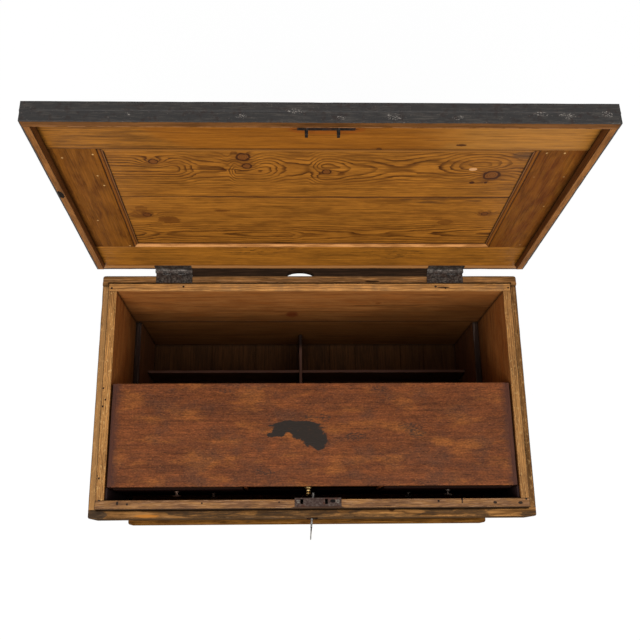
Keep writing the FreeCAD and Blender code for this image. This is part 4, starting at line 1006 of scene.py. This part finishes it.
ROUNDED = {
    "plinth_front": [(upright_corner(PLINTH_X, PLINTH_Y), 11.0)],
    "plinth_rear": [(upright_corner(PLINTH_X, PLINTH_Y), 11.0)],
    "skirt_front": [(upright_corner(SKIRT_X, SKIRT_Y), 4.5)],
    "skirt_rear": [(upright_corner(SKIRT_X, SKIRT_Y), 7.0), (raised_end(SKIRT_X, RIM), 3.0)],
}
SKIRT_FOLD = 14.0              # the rear skirt's ends lean in above this far below the rim
CUT_BACK = {                   # ends worn towards the middle: which corners, axis and distance
    "skirt_rear": (lambda p: abs(abs(p.x) - SKIRT_X) < 0.1 and abs(p.z - RIM) < 0.1, 0, 3.6),
    "lid_lips_side": (lambda p: p.y > LIP_END - 0.1 and p.z < LID_UNDER - 14, 1, 9.0),
}


KEY_LINE = (-0.8, -250.0, 0.0711)        # x at a y and how fast x grows with y along the key
BOW = (-321.5, -290.0)                   # the key's end and where its bow begins


def thin_bow(vert):
    """Hammers the key's bow thinner towards its end."""
    x, y = vert.co.x / MM, vert.co.y / MM
    if y < BOW[1]:
        middle = KEY_LINE[0] + (y - KEY_LINE[1]) * KEY_LINE[2]
        thickness = 0.7 - 0.2 * (BOW[1] - y) / (BOW[1] - BOW[0])
        vert.co.x = (middle + (x - middle) * thickness) * MM


def soften(bm, edges, radius, segments):
    bmesh.ops.bevel(bm, geom=edges, offset=radius * MM, segments=segments, profile=0.5,
                    affect="EDGES", clamp_overlap=True)


def worn(node, material, bevel=1.0, wear=0.0, seed=0.0):
    """A copy of a node with rubbed edges. With wear the edges waver."""
    closed = node in LID_PIECES
    flush = FLUSH.get(node, lambda p: False)
    bm = bmesh.new()
    bm.from_mesh(frame["nodes"][node].data)
    if closed:
        bm.transform(CLOSE)
    bmesh.ops.remove_doubles(bm, verts=bm.verts, dist=WELD)
    bmesh.ops.dissolve_limit(bm, angle_limit=NEARLY_FLAT, verts=bm.verts, edges=bm.edges)
    if node == "skirt_rear":
        cut(bm, 2, (RIM - SKIRT_FOLD) * MM)
    for vert in bm.verts:
        if node in CUT_BACK:
            test, axis, distance = CUT_BACK[node]
            if test(vert.co / MM):
                vert.co[axis] -= math.copysign(distance * MM, vert.co[axis])
        elif node == "key":
            thin_bow(vert)
    for test, radius in ROUNDED.get(node, ()):
        corner = [e for e in bm.edges if test(*(v.co / MM for v in e.verts))]
        soften(bm, corner, radius, 5)
    sharp = [e for e in bm.edges if e.is_manifold and e.is_convex
             and e.calc_face_angle(0.0) > RUBBED
             and not all(flush(v.co / MM) for v in e.verts)]
    soften(bm, sharp, bevel, 2)
    if wear:
        waver(bm, wear, seed, flush)
    if closed:
        bm.transform(OPEN)
    piece = made_into_object(bm, "worn_" + node)
    dress(piece, material, node)
    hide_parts(node)


def made_into_object(bm, name):
    mesh = bpy.data.meshes.new(name)
    bm.to_mesh(mesh)
    bm.free()
    return bpy.data.objects.new(name, mesh)


def dress(piece, material, node):
    """Puts a piece in the scene, on the node's body and in its material slot."""
    bpy.context.scene.collection.objects.link(piece)
    piece.data.materials.append(material)
    piece.data.shade_smooth()
    piece.data.set_sharp_from_angle(angle=SHARP)
    even = piece.modifiers.new("even_shading", "WEIGHTED_NORMAL")
    even.weight = 80
    even.keep_sharp = True
    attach(piece, BODY_OF[node])


def islands(bm):
    """The separate solids of a mesh, as lists of vertices."""
    left = set(bm.verts)
    groups = []
    while left:
        stack = [left.pop()]
        group = []
        while stack:
            vert = stack.pop()
            group.append(vert)
            for e in vert.link_edges:
                other = e.other_vert(vert)
                if other in left:
                    left.remove(other)
                    stack.append(other)
        groups.append(group)
    return groups


def cut(bm, axis, value):
    normal = Vector((0, 0, 0))
    normal[axis] = 1
    everything = bm.verts[:] + bm.edges[:] + bm.faces[:]
    bmesh.ops.bisect_plane(bm, geom=everything, dist=1e-6, plane_co=normal * value, plane_no=normal)


def waver(bm, wear, seed, flush):
    """Cuts boards across their length and rubs their edges back unevenly, within their box."""
    box = [(min(v.co[i] for v in bm.verts), max(v.co[i] for v in bm.verts)) for i in range(3)]
    planes = set()
    inset = CUT_INSET * MM
    for group in islands(bm):
        low = [min(v.co[i] for v in group) for i in range(3)]
        high = [max(v.co[i] for v in group) for i in range(3)]
        size = [h - l for l, h in zip(low, high)]
        longest = size.index(max(size))
        count = max(2, round(size[longest] / (CUT_PITCH * MM)))
        for step in range(1, count):
            jitter = noise.noise(Vector((step * 1.37, seed, longest))) * 0.3
            planes.add((longest, round(low[longest] + size[longest] * (step + jitter) / count, 5)))
        for axis in range(3):
            if axis != longest and size[axis] > 4 * inset:
                planes.add((axis, round(low[axis] + inset, 5)))
                planes.add((axis, round(high[axis] - inset, 5)))
    for axis, value in sorted(planes):
        cut(bm, axis, value)
    bm.normal_update()
    moves = []
    for vert in bm.verts:
        normals = [f.normal for f in vert.link_faces]
        flattest = min((a.dot(b) for a in normals for b in normals), default=1)
        place = vert.co / MM
        if flattest > 0.98 or flush(place):
            continue
        broad = noise.noise(place / 38 + Vector((seed, 0, 0)))
        fine = noise.noise(place / 9 + Vector((0, seed, 0)))
        dent = max(0.0, fine - 0.28) * 2.2
        moves.append((vert, vert.normal * (-wear * MM * (0.35 + 0.5 * abs(broad) + dent))))
    for vert, move in moves:
        vert.co = Vector(min(max(c, low), high) for c, (low, high) in zip(vert.co + move, box))


# ---- small things that the model leaves to the visual ----

def box_into(bm, low, high):
    """A box between two corners, in millimetres."""
    size = [(h - l) * MM for l, h in zip(low, high)]
    middle = [(h + l) / 2 * MM for l, h in zip(low, high)]
    bmesh.ops.create_cube(bm, size=1.0, matrix=Matrix.Translation(middle) @ Matrix.Diagonal((*size, 1)))


def plank_gaps():
    """The x ranges of the gaps between the floor planks."""
    bm = bmesh.new()
    bm.from_mesh(frame["nodes"]["floor_planks"].data)
    bmesh.ops.remove_doubles(bm, verts=bm.verts, dist=WELD)
    spans = sorted((min(v.co.x for v in g) / MM, max(v.co.x for v in g) / MM) for g in islands(bm))
    bm.free()
    return [(a[1], b[0]) for a, b in zip(spans, spans[1:])]


def packed_dust(name, node, boxes, sinks, lid=False):
    """Dirt in the joints between a node's boards. Boxes are (low, high) corners, and the dirt
    sinks back unevenly by up to sinks mm."""
    bm = bmesh.new()
    for low, high in boxes:
        box_into(bm, low, high)
    bmesh.ops.subdivide_edges(bm, edges=[e for e in bm.edges if e.calc_length() > 0.1], cuts=60)
    middle = sum((v.co.z for v in bm.verts), 0.0) / len(bm.verts)
    for vert in bm.verts:
        sunk = sinks * MM * abs(noise.noise(vert.co * 90))
        vert.co.z -= math.copysign(sunk, vert.co.z - middle)
    if lid:
        bm.transform(OPEN)
    dress(made_into_object(bm, name), dust(name), node)


def all_dust():
    low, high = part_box("floor_planks")
    floor = [((start - 0.4, low.y / MM + 1, 4), (end + 0.4, high.y / MM - 1, high.z / MM - 0.5))
             for start, end in plank_gaps()]
    panel = ((1 - PANEL_X, PANEL_SEAM - 0.8, LID_UNDER + 7),
             (PANEL_X - 1, PANEL_SEAM + 0.8, LID_TOP - 1.5))
    back = ((30 - WALL_X, WALL_Y - 17, BACK_SEAM - 0.8), (WALL_X - 30, WALL_Y - 2, BACK_SEAM + 0.6))
    packed_dust("floor_dust", "floor_planks", floor, 2.0)
    packed_dust("panel_dust", "lid_panel_front", [panel], 0.2, lid=True)
    packed_dust("back_dust", "back_board_upper", [back], 0.2)


NAILS = [(-419, -246), (-398, -247), (269, -244), (320, -246), (-295, 249), (291, 249), (-460, 246),
         (461, 246), (-458, -238), (459, -240)]


def nail_heads():
    """Old nails driven just under the rim's surface, their heads a hair proud."""
    bm = bmesh.new()
    for order, (x, y) in enumerate(NAILS):
        lean = Matrix.Rotation(order * 0.7, 4, "Z")
        place = Matrix.Translation((x * MM, y * MM, (RIM - 0.5) * MM)) @ lean
        bmesh.ops.create_cone(bm, cap_ends=True, segments=9, radius1=2.2 * MM, radius2=1.9 * MM,
                              depth=1.4 * MM, matrix=place)
    dress(made_into_object(bm, "rim_nails"), RUSTY_IRON, "carcase_screws")


# ---- which look each piece has ----

PANEL_KNOTS = [(-296, -133, 8), (-135, -147, 12), (-129, -120, 8.5), (16, -103, 8), (323, -94, 15)]
FRONT_FIGURE = Figure([(-387, -112), (60, -110), (300, -123)],
                      [(-387, 4), (-268, 2), (-210, 27), (-165, 27), (-148, 6), (-112, 3), (-52, 30),
                       (-20, 34), (15, 4), (72, 24), (150, 36), (208, 30), (300, 2), (370, 24)])
REAR_PANEL_KNOTS = [(-338, 46, 8), (345, 40, 6.5)]
REAR_FIGURE = Figure([(-387, 121), (0, 126), (387, 118)],
                     [(-387, 2), (-318, 15), (-270, 12), (-60, 3), (-12, 14), (120, 22), (387, 8)])
BACK_KNOTS = [(-42, 289, 9), (167, 371, 5), (200, 222, 4)]

IRON = iron("iron")
HINGE_IRON = iron("hinge_iron", 1.0, 0.3, pits=0.55, marks=knuckle_rub_and_highlight)
LOCK_IRON = iron("lock_iron", 1.1, 1.0, pits=0.5, metallic=0.15, marks=selvedge_marks)
RUSTY_IRON = iron("rusty_iron", 0.6, 0.9, metallic=0.0)
LINK_IRON = iron("link_iron", 0.5, 0.7)
KNOB_IRON = iron("knob_iron", 1.8, 0.1, 0.8)
BRASS = bright_metal("brass", srgb(255, 216, 146), srgb(240, 184, 106), 0.24, 1.0)
SCREW_STEEL = bright_metal("screw_steel", srgb(110, 102, 94), srgb(60, 52, 46), 0.45)
BOARDS = {                     # wood, axes, seed, marks, heart, knots, face, as board takes them
    "lid_rail_front": (PINE_RAIL, "xy", 1.2, front_rail_marks, -330),
    "lid_rail_rear": (PINE_RAIL, "xy", 2.9, rear_rail_marks, 320),
    "lid_stile_left": (PINE_STILE, "yx", 3.4, stile_marks, -560),
    "lid_stile_right": (PINE_STILE, "yx", 4.8, stile_marks, 540),
    "lid_panel_front": (PINE_PANEL, "xy", 5.6, panel_front_marks, FRONT_FIGURE, PANEL_KNOTS),
    "lid_panel_rear": (PINE_PANEL, "xy", 6.1, panel_rear_marks, REAR_FIGURE, REAR_PANEL_KNOTS),
    "lid_moulding": (PINE_RAIL, "xy", 7.3, moulding_marks),
    "lid_lip_front": (PINE_LIP, "xy", 8.5, front_lip_marks),
    "lid_lips_side": (PINE_LIP, "yx", 9.2, lip_marks),
    "front_board": (PINE_RIM, "xz", 11.3, front_board_marks, 520),
    "back_board_upper": (PINE_RIM, "xz", 12.6, back_board_marks, 330, BACK_KNOTS, 200),
    "back_board_lower": (PINE_RIM, "xz", 13.2, back_board_marks, 100, (), 200),
    "left_end_board": (PINE_RIM, "yz", 14.7, end_board_marks, 300, (), 400),
    "right_end_board": (PINE_RIM, "yz", 15.1, end_board_marks, 350, (), -400),
    "skirt_front": (PINE_SKIRT, "xz", 16.8, front_skirt_marks, 500, (), -200),
    "skirt_rear": (PINE_SKIRT, "xz", 17.5, rear_skirt_marks, 520, (), 200),
    "skirt_ends": (PINE_SKIRT, "yz", 18.2, side_skirt_marks, 500),
    "plinth_front": (PINE_PLINTH, "xz", 19.9, plinth_marks, 120),
    "plinth_rear": (PINE_PLINTH, "xz", 20.4, plinth_marks, 120),
    "plinth_ends": (PINE_PLINTH, "yz", 21.8, plinth_end_marks, 120),
    "floor_planks": (PINE_FLOOR_SHADED, "yx", 22.5, None, 40),
    "till_ledge_left": (PINE_WELL_SHADED, "yz", 23.1, ledge_marks),
    "till_ledge_right": (PINE_WELL_SHADED, "yz", 24.1, ledge_marks),
    "well_divider_long": (PINE_WELL_SHADED, "xz", 25.1, divider_marks),
    "well_divider_cross": (PINE_WELL_SHADED, "yz", 26.1, divider_marks),
    "till_stop_strips": (MAHOGANY_SHADED, "zy", 27.1, shaded_strip_marks),
    "till_top": (MAHOGANY, "xy", 28.3, till_marks, -60),
    "till_end_left": (MAHOGANY, "yz", 29.3, till_end_band, 300),
    "till_end_right": (MAHOGANY, "yz", 30.3, till_end_band, 300),
    "till_back": (MAHOGANY, "xz", 31.3, None, 330),
    "till_shelf": (MAHOGANY_SHADED, "xy", 32.3),
    "till_bottom": (PINE_DRAWER, "xy", 33.3),
    "till_partitions": (MAHOGANY, "yz", 34.3, None, 300),
}
METALS = {
    "carcase_screws": SCREW_STEEL,
    "lid_screws": SCREW_STEEL,
    "key": bright_metal("key_steel", srgb(152, 148, 142), srgb(84, 80, 76), 0.42),
    "escutcheon": RUSTY_IRON,
    "hinge_leaves_lower": HINGE_IRON,
    "hinge_leaves_upper": HINGE_IRON,
    "hinge_pins": HINGE_IRON,
    "lock_selvedge": LOCK_IRON,
    "lock_link_plate": LINK_IRON,
}
for order, side in enumerate(("left", "middle", "right", "lower")):
    BOARDS["drawer_front_" + side] = (MAHOGANY_SHADED, "xz", 35.3 + order, None, 300)
    BOARDS["drawer_box_" + side] = (PINE_DRAWER, "yx", 40.3 + order)
    METALS["drawer_knob_" + side] = BRASS if side == "middle" else KNOB_IRON
WOODS = {node: board(node, *row) for node, row in BOARDS.items()}
WOODS["lid_stop_batten"] = batten_shade_paint()

METAL_SLOTS = {"iron", "steel_screws", "key_steel", "brass", "drawer_knob_iron"}
for order, node in enumerate(sorted(frame["nodes"])):
    if SLOT_OF[node] in METAL_SLOTS:
        worn(node, METALS.get(node, IRON), bevel=0.35)
    else:
        worn(node, WOODS[node], bevel=1.0, wear=0.8, seed=order * 1.7)
all_dust()
nail_heads()


# ---- stage ----

def seen_ray(tree):
    """1 for what the camera sees, directly or through a reflection, 0 for light on its way."""
    path = tree.nodes.new("ShaderNodeLightPath")
    camera, glossy, clear = (Wire(tree, path.outputs[name]) for name in
                             ("Is Camera Ray", "Is Glossy Ray", "Is Transmission Ray"))
    return camera.most(glossy).most(clear)


def make_floor():
    s = Surface("floor_white")
    tree = s.tree
    matt = tree.nodes.new("ShaderNodeBsdfDiffuse")
    matt.inputs["Color"].default_value = (0.8, 0.8, 0.8, 1)
    glow = tree.nodes.new("ShaderNodeEmission")
    glow.inputs["Strength"].default_value = FLOOR_GLOW
    mixed = tree.nodes.new("ShaderNodeMixShader")
    feed(tree, mixed.inputs[0], seen_ray(tree) * FLOOR_GLOW_SHARE)
    tree.links.new(matt.outputs[0], mixed.inputs[1])
    tree.links.new(glow.outputs[0], mixed.inputs[2])
    out = tree.nodes.new("ShaderNodeOutputMaterial")
    tree.links.new(mixed.outputs[0], out.inputs["Surface"])
    bm = bmesh.new()
    bmesh.ops.create_grid(bm, x_segments=2, y_segments=2, size=FLOOR_HALF)
    floor = made_into_object(bm, "floor")
    floor.location.z = -FLOOR_BELOW * MM
    floor.data.materials.append(s.material)
    bpy.context.scene.collection.objects.link(floor)


def make_world():
    world = bpy.data.worlds.new("world")
    bpy.context.scene.world = world
    world.use_nodes = True
    tree = world.node_tree
    tree.nodes.clear()
    sky = tree.nodes.new("ShaderNodeBackground")
    feed(tree, sky.inputs["Strength"], WORLD_LIGHT + seen_ray(tree) * (1 - WORLD_LIGHT))
    out = tree.nodes.new("ShaderNodeOutputWorld")
    tree.links.new(sky.outputs[0], out.inputs["Surface"])


make_camera()
make_lamp("key", (-0.5, -1.9, 3.1), (0, 0, 0.5), (2.2, 1.6), 76)
make_lamp("fill", (1.6, -0.8, 2.6), (0, 0, 0.4), (1.6, 1.6), 14)
make_floor()
make_world()
bpy.context.scene.view_settings.view_transform = "Standard"
